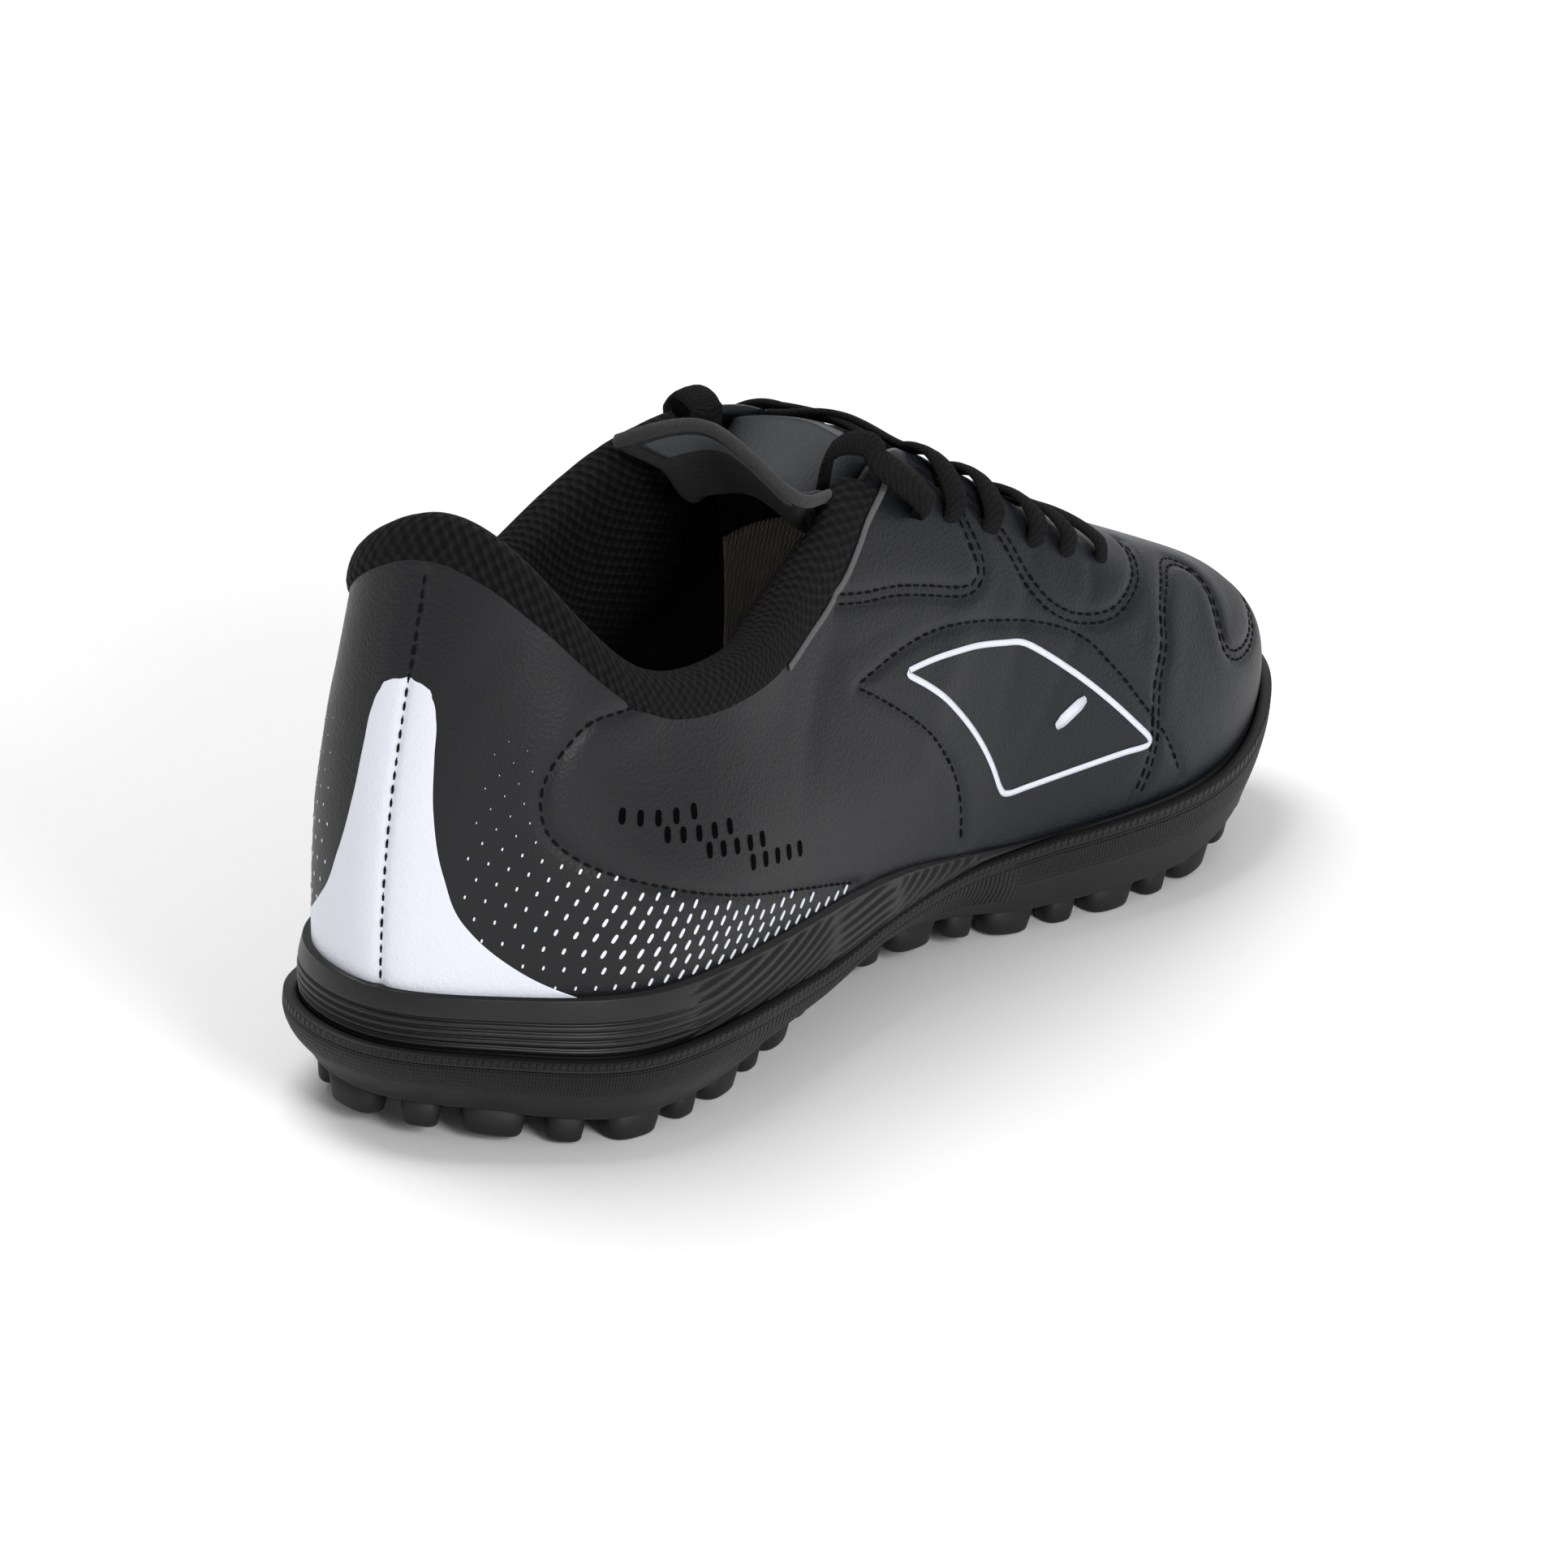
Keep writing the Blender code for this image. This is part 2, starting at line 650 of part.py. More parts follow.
def lace_bar(first, last, lateral, lift):
    """Place function of one bar: out of its eyelet, over the throat's edge, to just short of the
    other edge. Its second end lies one row of eyelets nearer the collar."""
    side = (lambda around: 1 - around) if lateral else (lambda around: around)
    throat = LACING["throat"]
    near = 0.75 * throat[first] + 0.25 * throat[last]
    far = 0.25 * throat[first] + 0.75 * throat[last]
    clear = OVERLAY_GAP + OVERLAY_THICKNESS + 3 * FIT_GAP + LACE_THICKNESS / 2
    edge = upper_point(side(near), 1.0, clear, clear)
    over = unit(np.array([0.5, 0, 0.85]))
    other = upper_point(1 - side(far), 1.0)
    target = edge + (other - edge) * LACE_REACH
    target = target + over * (clear * 0.3)

    def centre(share):
        """Point and outward direction at a share of the bar's length."""
        climb = np.minimum(share / LACE_CLIMB, 1)
        around = LACING["around"][first] * (1 - climb) + near * climb
        up = LACING["up"][first] * (1 - climb) + climb
        on_side = upper_point(side(around), up, clear, clear * climb ** 2)
        facing = column_frame(side(around), up)[0]
        cross = np.maximum((share - LACE_CLIMB) / (1 - LACE_CLIMB), 0)[..., None]
        crown = over * (np.sin(math.pi * cross) * LACE_CROWN + smooth_step(2 * cross) * lift)
        point = on_side + (target - edge) * cross + crown
        turn = smooth_step((share - 0.6 * LACE_CLIMB) / (1 - 0.6 * LACE_CLIMB) * 2)[..., None]
        return point, unit(facing * (1 - turn) + over * turn)

    def place(across, along, layer):
        step = 0.01
        point, normal = centre(along)
        ahead = centre(along + step)[0] - centre(along - step)[0]
        aside = unit(np.cross(normal, ahead))
        return (
            point
            + aside * (across - 0.5)[:, None] * LACE_WIDTH
            + normal * (layer - 0.5)[:, None] * LACE_THICKNESS
        )
    return place


LACE_CLIMB = 0.5
LACE_REACH = 0.82
LACE_CROWN = 0.0012
# Course of each lace end from the top eyelet over the padded collar: a place on the upper, then how
# far to the shoe's outside and up from it, as shares of LACE_WIDTH.
LACE_END = table("around up out rise", (
    (0.332, 0.850, 0.46, 0.18),
    (0.335, 0.930, 0.48, 0.28),
    (0.336, 1.000, 0.40, 0.46),
    (0.334, 1.000, 0.02, 1.04),
    (0.331, 1.000, -0.50, 1.16),
    (0.328, 1.000, -0.95, 1.00),
))


def make_lace_end(name, lateral, material):
    knots = np.linspace(0, 1, len(LACE_END["around"]))

    def centre(share):
        read = lambda column: line_spline(knots, LACE_END[column], share)
        around = 1 - read("around") if lateral else read("around")
        outside = np.array([0, 1.0 if lateral else -1.0, 0])
        aside, rise = read("out") * LACE_WIDTH, read("rise") * LACE_WIDTH
        return upper_point(around, read("up")) + outside * aside[:, None] + UPRIGHT * rise[:, None]

    def place(across, along, layer):
        step = 0.02
        point = centre(along)
        ahead = unit(centre(along + step) - centre(along - step))
        around = 1 - LACE_END["around"][0] if lateral else LACE_END["around"][0]
        level = upper_point(around + step / 4, 1.0) - upper_point(around - step / 4, 1.0)
        aside = unit(level - ahead * (ahead @ level)[:, None])
        normal = np.cross(aside, ahead)
        return (
            point
            + aside * (across - 0.5)[:, None] * LACE_WIDTH
            + normal * (layer - 0.5)[:, None] * LACE_THICKNESS
        )
    return plate(name, place, 1, LACE_STEPS + 2, material)


LACE_STEPS = 8
UPRIGHT = np.array([0, 0, 1.0])
CROSSING_LIFT = 0.0006


def make_lace(material):
    """Crossings between rows of eyelets, each two bars joined where they meet, and a front bar."""
    things = []
    for row in range(1, len(LACING["around"])):
        first = plate(
            f"lace_crossing_{row}",
            lace_bar(row, row - 1, False, CROSSING_LIFT), 1, LACE_STEPS, material,
        )
        second = plate(
            f"lace_cutter_{row}",
            lace_bar(row, row - 1, True, 0.0), 1, LACE_STEPS, material,
        )
        second.hide_render = True
        second.display_type = "WIRE"
        union = first.modifiers.new("second_bar", "BOOLEAN")
        union.operation = "UNION"
        union.solver = "EXACT"
        union.object = second
        things.append(first)
    return things


def centre_on_floor(things):
    """Move the whole shoe so that its box is centred on the origin and stands on the floor."""
    bpy.context.view_layer.update()
    graph = bpy.context.evaluated_depsgraph_get()
    corners = []
    for thing in things:
        shape = thing.evaluated_get(graph)
        corners += [tuple(shape.matrix_world @ vertex.co) for vertex in shape.data.vertices]
    corners = np.array(corners)
    middle = (corners.min(0) + corners.max(0)) / 2
    shift = (-middle[0], -middle[1], -corners[:, 2].min())
    for thing in bpy.data.objects:
        for vertex in thing.data.vertices:
            vertex.co.x += shift[0]
            vertex.co.y += shift[1]
            vertex.co.z += shift[2]
    return shift


def main():
    for thing in list(bpy.data.objects):
        bpy.data.objects.remove(thing)
    rubber = new_material("outsole_rubber", (0.020, 0.020, 0.022), 0.62)
    foam = new_material("midsole_foam", (0.022, 0.022, 0.024), 0.42)
    leather = new_material("upper_synthetic", (0.030, 0.031, 0.034), 0.45)
    mesh_knit = new_material("collar_knit", (0.014, 0.014, 0.015), 0.90)
    felt = new_material("tongue_felt", (0.035, 0.035, 0.038), 0.85)
    board = new_material("insole_cloth", (0.45, 0.42, 0.40), 0.85)
    facing = new_material("facing_synthetic", (0.032, 0.034, 0.038), 0.42)
    cord = new_material("lace_cotton", (0.016, 0.016, 0.016), 0.95)
    outsole = make_outsole(rubber)
    add_studs(outsole, rubber)
    things = [
        outsole,
        make_midsole(foam),
        make_insole(board),
        make_upper(leather),
        make_collar_lining(mesh_knit),
        make_tongue(felt),
        make_overlay("toe_overlay", TOE_OVERLAY, False, 3, 18, facing),
        make_overlay("heel_strip", HEEL_STRIP, False, 2, 6, facing),
    ]
    for side, lateral in (("medial", False), ("lateral", True)):
        things.append(make_overlay(f"eyestay_{side}", EYESTAY, lateral, 5, 5, facing))
        things.append(make_overlay(f"lower_eyestay_{side}", LOWER_EYESTAY, lateral, 5, 6, facing))
        things.append(make_overlay(f"side_panel_{side}", SIDE_PANEL, lateral, 6, 6, facing))
    things += make_lace(cord)
    things.append(make_lace_end("lace_end_medial", False, cord))
    things.append(make_lace_end("lace_end_lateral", True, cord))
    centre_on_floor(things)


if __name__ == "__main__":
    main()
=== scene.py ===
"""Turf shoe for the left foot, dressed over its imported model.

A place on the upper is given by around (0 at the heel seam, 0.25 on the medial waist, 0.5 at the
toe, 0.75 on the lateral waist) and up (0 at the feather line where the upper meets the sole, 1 at
the edge of the opening). Everything is in metres, +X to the toe, +Y to the outer side of the foot.
"""

import math

import bmesh
import bpy
import numpy as np
from mathutils import Matrix, Vector

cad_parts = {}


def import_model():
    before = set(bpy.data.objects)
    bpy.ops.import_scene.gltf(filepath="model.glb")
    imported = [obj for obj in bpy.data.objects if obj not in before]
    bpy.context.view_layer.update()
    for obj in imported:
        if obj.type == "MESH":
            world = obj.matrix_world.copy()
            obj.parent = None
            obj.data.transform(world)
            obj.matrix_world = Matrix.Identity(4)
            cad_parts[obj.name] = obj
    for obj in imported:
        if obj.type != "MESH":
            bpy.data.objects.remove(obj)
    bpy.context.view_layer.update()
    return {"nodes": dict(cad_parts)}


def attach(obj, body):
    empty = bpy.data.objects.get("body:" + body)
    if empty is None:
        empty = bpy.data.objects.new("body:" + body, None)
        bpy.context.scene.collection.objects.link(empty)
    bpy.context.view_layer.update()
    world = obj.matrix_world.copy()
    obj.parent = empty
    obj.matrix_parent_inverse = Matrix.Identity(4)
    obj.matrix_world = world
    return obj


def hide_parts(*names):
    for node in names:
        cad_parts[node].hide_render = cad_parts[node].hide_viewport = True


bl_info = {
    "name": "Turf shoe",
    "version": (1, 0, 0),
    "blender": (4, 5, 0),
    "location": "View3D > Sidebar > Shoe",
    "description": "Makes the upper, lacing, lining, prints and sole of a turf shoe",
    "category": "Object",
}

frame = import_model()

# Sizes of the last, the sole and the upper
LAST_LENGTH = 0.236
BALL_WIDTH = 0.075
SOLE_HEIGHT = 0.028
QUARTER_HEIGHT = 0.0736
STUD_HEIGHT = 0.0046
HEEL_BEVEL = 0.003
ARCH_LIFT = 0.0025
TOE_SPRING = 0.012
WALL_FLARE = 0.004
RIM_THICKNESS = 0.0022
TREAD_THICKNESS = 0.003
FOXING_DEPTH = 0.0012
MIDSOLE_LEDGE = 0.0015
UPPER_WALL = 0.0018
PAD_THICKNESS = 0.009
ROLL_HEIGHT = 0.0045
TONGUE_THICKNESS = 0.0025
LACE_WIDTH = 0.006
LACE_THICKNESS = 0.0014
FIT_GAP = 0.0003
WELD = 1e-6

# Step from the last's own frame, with the heel at zero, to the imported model's frame
SHIFT = np.array([-0.1171814, -0.0013385, 0.0])
MM = 0.001

# The two sides of the shoe: the sign of each and its name
SIDES = ((1, "medial"), (-1, "lateral"))


def table(names, rows):
    """One array for each named column."""
    return dict(zip(names.split(), np.array(rows, float).T))


# Line where the upper meets the sole. along is a share of LAST_LENGTH, across of BALL_WIDTH and
# rise of SOLE_HEIGHT.
FEATHER = table("around along across rise", (
    (0.00, 0.000, -0.012, 1.00),
    (0.05, 0.046, -0.230, 0.99),
    (0.11, 0.124, -0.420, 0.98),
    (0.18, 0.277, -0.447, 0.96),
    (0.25, 0.447, -0.393, 0.89),
    (0.31, 0.596, -0.385, 0.69),
    (0.37, 0.731, -0.465, 0.68),
    (0.42, 0.859, -0.470, 0.73),
    (0.46, 0.955, -0.360, 0.90),
    (0.50, 1.000, -0.130, 1.02),
    (0.54, 0.940, 0.250, 0.93),
    (0.58, 0.829, 0.455, 0.76),
    (0.63, 0.693, 0.520, 0.70),
    (0.69, 0.553, 0.440, 0.74),
    (0.75, 0.426, 0.373, 0.86),
    (0.82, 0.277, 0.360, 0.95),
    (0.89, 0.123, 0.335, 0.99),
    (0.95, 0.025, 0.230, 1.00),
))

# Edge of the collar and throat. height is a share of QUARTER_HEIGHT above SOLE_HEIGHT.
OPENING = table("around along across height", (
    (0.00, 0.021, -0.007, 1.000),
    (0.05, 0.057, -0.220, 0.890),
    (0.11, 0.137, -0.328, 0.650),
    (0.18, 0.244, -0.353, 0.592),
    (0.25, 0.324, -0.310, 0.648),
    (0.31, 0.406, -0.263, 0.823),
    (0.37, 0.494, -0.190, 0.890),
    (0.42, 0.591, -0.159, 0.700),
    (0.46, 0.683, -0.121, 0.560),
    (0.50, 0.721, 0.000, 0.474),
    (0.54, 0.683, 0.120, 0.561),
    (0.58, 0.595, 0.160, 0.715),
    (0.63, 0.488, 0.192, 0.889),
    (0.69, 0.398, 0.285, 0.870),
    (0.75, 0.310, 0.360, 0.715),
    (0.82, 0.232, 0.375, 0.600),
    (0.89, 0.142, 0.332, 0.660),
    (0.95, 0.040, 0.225, 0.860),
))

# Side of the sole. rim is the share of the wall's height where the rubber cup ends, bulge and
# low are the cup's reach beyond the feather line in WALL_FLAREs, at mid height and at the
# bottom, and ledge is the midsole's reach in MIDSOLE_LEDGEs.
SOLE_SIDE = table("around rim bulge low ledge", (
    (0.00, 0.52, 1.00, -0.40, 1.0),
    (0.05, 0.52, 1.00, -0.35, 1.0),
    (0.11, 0.52, 1.00, 0.00, 1.0),
    (0.18, 0.53, 0.80, -0.60, 1.0),
    (0.25, 0.56, 0.50, -1.60, 1.0),
    (0.31, 0.86, 0.55, -0.30, 0.3),
    (0.37, 0.98, 0.75, 0.40, -0.6),
    (0.42, 0.98, 0.70, 0.30, -0.6),
    (0.46, 0.98, 0.60, 0.00, -0.6),
    (0.50, 0.98, 0.60, -0.30, -0.6),
    (0.54, 0.98, 0.60, 0.00, -0.6),
    (0.58, 0.98, 0.70, 0.20, -0.6),
    (0.63, 0.98, 0.70, 0.30, -0.6),
    (0.69, 0.88, 0.60, 0.10, 0.2),
    (0.75, 0.58, 0.60, -0.60, 1.0),
    (0.82, 0.53, 0.80, -0.40, 1.0),
    (0.89, 0.52, 1.00, 0.00, 1.0),
    (0.95, 0.52, 1.00, -0.35, 1.0),
))

# Padded collar: pad is a share of PAD_THICKNESS.
COLLAR = table("around pad", (
    (-0.34, 0.25),
    (-0.30, 0.48),
    (-0.24, 0.80),
    (-0.17, 0.75),
    (-0.08, 0.62),
    (0.00, 0.60),
    (0.08, 0.62),
    (0.17, 0.75),
    (0.24, 0.85),
    (0.30, 0.48),
    (0.34, 0.25),
))

# Tongue. run goes from 0 under the vamp to 1 at the collar's corner and on to 2 at the free end,
# reach and lift move the free end back and up as shares of LAST_LENGTH, wing is how far down the
# eyestay the tongue's edge lies, crown lifts its middle as a share of BALL_WIDTH and narrow is the
# share of the throat's width that it keeps.
TONGUE = table("run reach wing crown narrow lift", (
    (0.0, 0.000, 0.95, 0.000, 1.00, 0.000),
    (0.3, 0.000, 0.88, 0.010, 1.00, 0.000),
    (0.7, 0.000, 0.86, 0.025, 1.00, 0.000),
    (1.0, 0.000, 0.90, 0.040, 0.96, 0.000),
    (1.1, 0.004, 0.91, 0.041, 0.94, -0.001),
    (1.3, 0.050, 0.94, 0.045, 0.80, -0.030),
    (1.7, 0.098, 0.96, 0.078, 0.86, -0.001),
    (2.0, 0.126, 0.97, 0.105, 1.14, 0.012),
))

# Eyelets from the collar's corner to the toe, with the place on the throat's edge that the lace
# passes above each.
LACING = table("around up throat", (
    (0.332, 0.850, 0.366),
    (0.335, 0.735, 0.396),
    (0.345, 0.655, 0.416),
    (0.361, 0.585, 0.434),
    (0.374, 0.550, 0.447),
    (0.397, 0.550, 0.461),
))

# Shares of a lap where the tongue starts and where the collar's corner is, how far the free end is
# turned and tilted, and how the tongue's rows are shared between throat and free end
TONGUE_FRONT = 30 / 64
TONGUE_CORNER = 23 / 64
TONGUE_SKEW = 0.15
TONGUE_TILT = 0.09
THROAT_ROWS = 7
FREE_ROWS = 5


def hermite(share, width, first, last, leaving, arriving):
    """Cubic from one value to the next, with the slope at each."""
    return (
        (1 + 2 * share) * (1 - share) ** 2 * first
        + share * (1 - share) ** 2 * width * leaving
        + share ** 2 * (3 - 2 * share) * last
        + share ** 2 * (share - 1) * width * arriving
    )


def ring_spline(knots, values, places):
    """Smooth closed curve through the values, one lap being 1, read at the places."""
    count = len(knots)
    steps = np.diff(np.append(knots, knots[0] + 1))
    slopes = np.diff(np.append(values, values[0])) / steps
    matrix = np.zeros((count, count))
    right = np.zeros(count)
    for row in range(count):
        before, after = steps[row - 1], steps[row]
        matrix[row, row - 1] += after
        matrix[row, row] += 2 * (before + after)
        matrix[row, (row + 1) % count] += before
        right[row] = 3 * (after * slopes[row - 1] + before * slopes[row])
    tangents = np.linalg.solve(matrix, right)
    places = (np.asarray(places, float) - knots[0]) % 1 + knots[0]
    first = np.searchsorted(knots, places, side="right") - 1
    last = (first + 1) % count
    width = steps[first]
    share = (places - knots[first]) / width
    return hermite(share, width, values[first], values[last], tangents[first], tangents[last])


def line_spline(knots, values, places):
    """Smooth open curve through the values, read at the places."""
    slopes = np.gradient(values, knots)
    places = np.clip(places, knots[0], knots[-1])
    first = np.clip(np.searchsorted(knots, places, side="right") - 1, 0, len(knots) - 2)
    last = first + 1
    width = knots[last] - knots[first]
    share = (places - knots[first]) / width
    return hermite(share, width, values[first], values[last], slopes[first], slopes[last])


def smooth_step(value):
    value = np.clip(value, 0, 1)
    return value * value * (3 - 2 * value)


def unit(vectors):
    return vectors / np.linalg.norm(vectors, axis=-1, keepdims=True)


def walk(points):
    """Length walked along the points up to each of them."""
    steps = np.linalg.norm(np.diff(points, axis=0), axis=1)
    return np.concatenate([[0], np.cumsum(steps)])


def sided(around, side):
    """The place on the medial side, or on the lateral side where side is -1."""
    return around if side > 0 else 1 - around


def read_ring(source, names, around):
    """Columns of a table that goes round the shoe, read at the places."""
    return [ring_spline(source["around"], source[name], around) for name in names.split()]


def feather(around):
    along, across, rise = read_ring(FEATHER, "along across rise", around)
    return np.stack([along * LAST_LENGTH, across * BALL_WIDTH, rise * SOLE_HEIGHT], -1)


def opening(around):
    along, across, height = read_ring(OPENING, "along across height", around)
    top = SOLE_HEIGHT + height * QUARTER_HEIGHT
    return np.stack([along * LAST_LENGTH, across * BALL_WIDTH, top], -1)


# Handles of the curve that runs up each column: shares of the column's height and depth
FOOT_RISE = 0.42
FOOT_LEAN = 0.044 * BALL_WIDTH
COLLAR_DROP = 0.40
COLLAR_LEAN = 0.053 * BALL_WIDTH
VAMP_REACH = 0.50
VAMP_DROP = 0.18
VAMP_START = 0.38
VAMP_END = 0.60


def column_point(around, up):
    """Point of the upper's outer face."""
    around, up = np.broadcast_arrays(np.asarray(around, float), np.asarray(up, float))
    foot, top = feather(around), opening(around)
    flat = foot - top
    flat[..., 2] = 0
    depth = np.linalg.norm(flat, axis=-1, keepdims=True)
    out = flat / np.maximum(depth, WELD)
    height = (top - foot)[..., 2:]
    lift = np.array([0, 0, 1.0])
    vamp = smooth_step((foot[..., :1] / LAST_LENGTH - VAMP_START) / (VAMP_END - VAMP_START))
    low = foot + lift * height * FOOT_RISE + out * FOOT_LEAN
    collar = out * COLLAR_LEAN - lift * height * COLLAR_DROP
    instep = out * depth * VAMP_REACH - lift * height * VAMP_DROP
    high = top + collar * (1 - vamp) + instep * vamp
    share = up[..., None]
    rest = 1 - share
    return (
        rest ** 3 * foot
        + 3 * rest ** 2 * share * low
        + 3 * rest * share ** 2 * high
        + share ** 3 * top
    )


def column_frame(around, up):
    """Outward normal and upward direction of the upper's outer face."""
    step = 1e-3
    sideways = column_point(around + step, up) - column_point(around - step, up)
    upward = column_point(around, up + step) - column_point(around, up - step)
    return unit(np.cross(sideways, upward)), unit(upward)


def upper_point(around, up, outward=0.0, beyond=0.0):
    """Point of the upper, moved along its normal and on past its top edge."""
    around, up = np.broadcast_arrays(np.asarray(around, float), np.asarray(up, float))
    normal, upward = column_frame(around, up)
    return (
        column_point(around, up)
        + normal * np.asarray(outward)[..., None]
        + upward * np.asarray(beyond)[..., None]
    )


def underside(x):
    """Height of the tread's underside above the floor: bevelled heel, arch and toe spring."""
    along = np.asarray(x) / LAST_LENGTH
    heel = HEEL_BEVEL * smooth_step((0.13 - along) / 0.15)
    arch = ARCH_LIFT * smooth_step((along - 0.34) / 0.10) * smooth_step((0.64 - along) / 0.10)
    toe = TOE_SPRING * np.clip((along - 0.78) / 0.22, 0, 1.1) ** 1.6
    return STUD_HEIGHT + heel + arch + toe


def outline(around, reach):
    """Feather line moved outward in plan."""
    step = 1e-3
    sideways = feather(around + step) - feather(around - step)
    normal = np.stack([sideways[..., 1], -sideways[..., 0]], -1)
    points = feather(around)
    points[..., :2] += unit(normal) * np.asarray(reach)[..., None]
    return points


def sole_side(name, around):
    return ring_spline(SOLE_SIDE["around"], SOLE_SIDE[name], around)


def sole_ring(around, reach, share):
    """Ring round the sole at a share of its wall's height, 0 at the tread and 1 at the feather."""
    points = outline(around, reach)
    bottom = underside(points[:, 0])
    points[:, 2] = bottom + (points[:, 2] - bottom) * share
    return points


def fold(ring):
    """The ring closed flat on the line halfway between its two sides."""
    return (ring + np.roll(ring[::-1], 1, axis=0)) / 2


# Course of each lace end from the top eyelet over the padded collar: a place on the upper, then how
# far to the shoe's outside and up from it, as shares of LACE_WIDTH.
LACE_END = table("around up out rise", (
    (0.332, 0.850, 0.46, 0.18),
    (0.335, 0.930, 0.48, 0.28),
    (0.336, 1.000, 0.40, 0.46),
    (0.334, 1.000, 0.02, 1.04),
    (0.331, 1.000, -0.50, 1.16),
    (0.328, 1.000, -0.95, 1.00),
))

# Lugs: pitch and inset of the row round the edge, the two sizes and the pitch of the middle rows
STUD_PITCH = 0.0116
STUD_INSET = 0.0042
LARGE_STUD = (0.0112, 0.0072)
SMALL_STUD = (0.0068, 0.0062)
ROW_PITCH = 0.0190


def world(points):
    return points + SHIFT


# Numbers and nodes of a material

class Wire:
    """A number in a material's node tree. Arithmetic on it adds Math nodes."""

    def __init__(self, finish, socket):
        self.finish = finish
        self.socket = socket

    def math(self, operation, *others):
        return self.finish.node("ShaderNodeMath", {"operation": operation}, [self, *others])

    def __add__(self, other):
        return self.math("ADD", other)

    __radd__ = __add__

    def __sub__(self, other):
        return self.math("SUBTRACT", other)

    def __rsub__(self, other):
        return (self * -1) + other

    def __mul__(self, other):
        return self.math("MULTIPLY", other)

    __rmul__ = __mul__

    def sine(self):
        return self.math("SINE")

    def size(self):
        return self.math("ABSOLUTE")

    def between(self, low, high):
        """0 below low, 1 above high and smooth between."""
        settings = {"interpolation_type": "SMOOTHSTEP"}
        return self.finish.node("ShaderNodeMapRange", settings, {0: self, 1: low, 2: high})


class Finish:
    """One procedural material. What varies over the surface is given as wires."""

    def __init__(self, name, roughness, **constants):
        self.material = bpy.data.materials.new(name)
        self.material.use_nodes = True
        self.tree = self.material.node_tree
        self.shader = self.tree.nodes["Principled BSDF"]
        self.shader.inputs["Roughness"].default_value = roughness
        for socket, value in constants.items():
            self.shader.inputs[socket.replace("_", " ")].default_value = value

    def plug(self, socket, value):
        if isinstance(value, Wire):
            self.tree.links.new(value.socket, socket)
        else:
            socket.default_value = value

    def node(self, kind, settings=None, inputs=None, output=0):
        """Adds a node: its settings first, then the values or wires of its sockets."""
        made = self.tree.nodes.new(kind)
        for key, value in (settings or {}).items():
            setattr(made, key, value)
        pairs = enumerate(inputs) if isinstance(inputs, list) else (inputs or {}).items()
        for key, value in pairs:
            self.plug(made.inputs[key], value)
        return Wire(self, made.outputs[output])

    def place(self):
        return self.node("ShaderNodeTexCoord", output="Object")

    def pattern(self):
        """The piece's own pattern coordinates in millimetres."""
        return self.node("ShaderNodeUVMap", {"uv_map": "pattern"})

    def split(self, vector):
        made = self.node("ShaderNodeSeparateXYZ", inputs=[vector])
        outputs = made.socket.node.outputs
        return Wire(self, outputs[0]), Wire(self, outputs[1]), Wire(self, outputs[2])

    def noise(self, where, scale, detail=2.0, roughness=0.5):
        return self.node("ShaderNodeTexNoise", inputs={
            "Vector": where, "Scale": scale, "Detail": detail, "Roughness": roughness,
        })

    def cells(self, where, scale):
        return self.node("ShaderNodeTexVoronoi", inputs={"Vector": where, "Scale": scale})

    def mix(self, share, first, second):
        """Colour between two colours."""
        made = self.tree.nodes.new("ShaderNodeMix")
        made.data_type = "RGBA"
        self.plug(made.inputs[0], share)
        for socket, value in ((made.inputs[6], first), (made.inputs[7], second)):
            self.plug(socket, value if isinstance(value, Wire) else (*value, 1))
        return Wire(self, made.outputs[2])

    def colour(self, value):
        self.plug(self.shader.inputs["Base Color"], value)

    def rough(self, value):
        self.plug(self.shader.inputs["Roughness"], value)

    def bump(self, *layers):
        """Relief from pairs of a height wire and its depth in metres."""
        below = None
        for height, depth in layers:
            inputs = {"Strength": 1.0, "Distance": depth, "Height": height}
            if below:
                inputs["Normal"] = below
            below = self.node("ShaderNodeBump", inputs=inputs)
        self.plug(self.shader.inputs["Normal"], below)


# Grain of the leather, in cells to a metre, which the ink on it shows too
PEBBLE_SCALE = 1500
PORE_SCALE = 2600

# Where the heel's plain black ends and the toe's painted shade and blue-grey sheen begin, along the
# shoe
PAINTED_TOE_START = -0.07
PAINTED_TOE_END = 0.05

# Loops of the collar's knit are this far apart, in millimetres, and fibres of the felt this many to
# a metre
KNIT_CELL = 1.4
FELT_GRAIN = 900


def leather_finish(name, dark, light, roughness=0.42, grain=1.0):
    """Fine-grained synthetic leather with a soft sheen. Its colour runs from the first colour at
    the heel to the second at the toe; on the upper the toe's darker blue-grey is painted shade and
    blue-grey sheen.
    """
    finish = Finish(name, roughness, Specular_IOR_Level=0.30)
    where = finish.place()
    along = finish.split(where)[0]
    cloud = finish.noise(where, 14, 3)
    forward = along.between(PAINTED_TOE_START, PAINTED_TOE_END)
    # Heel-to-toe mix: on the upper the toe's colour is painted shade and blue-grey sheen on black
    # leather
    toe_shade_and_sheen_mix = finish.mix(forward * 0.75 + cloud * 0.25, dark, light)
    speck = finish.noise(where, 900, 2)
    finish.colour(finish.mix(speck.between(0.45, 0.8) * 0.35, toe_shade_and_sheen_mix, [c * 1.5 for c in light]))
    finish.rough(roughness - 0.06 + cloud * 0.1 + speck * 0.08)
    pebble = finish.cells(where, PEBBLE_SCALE)
    pores = finish.noise(where, PORE_SCALE, 2)
    waves = finish.noise(where, 60, 3)
    finish.bump((waves, 0.00016), (pebble, 0.00006 * grain), (pores, 0.00004 * grain))
    return finish.material


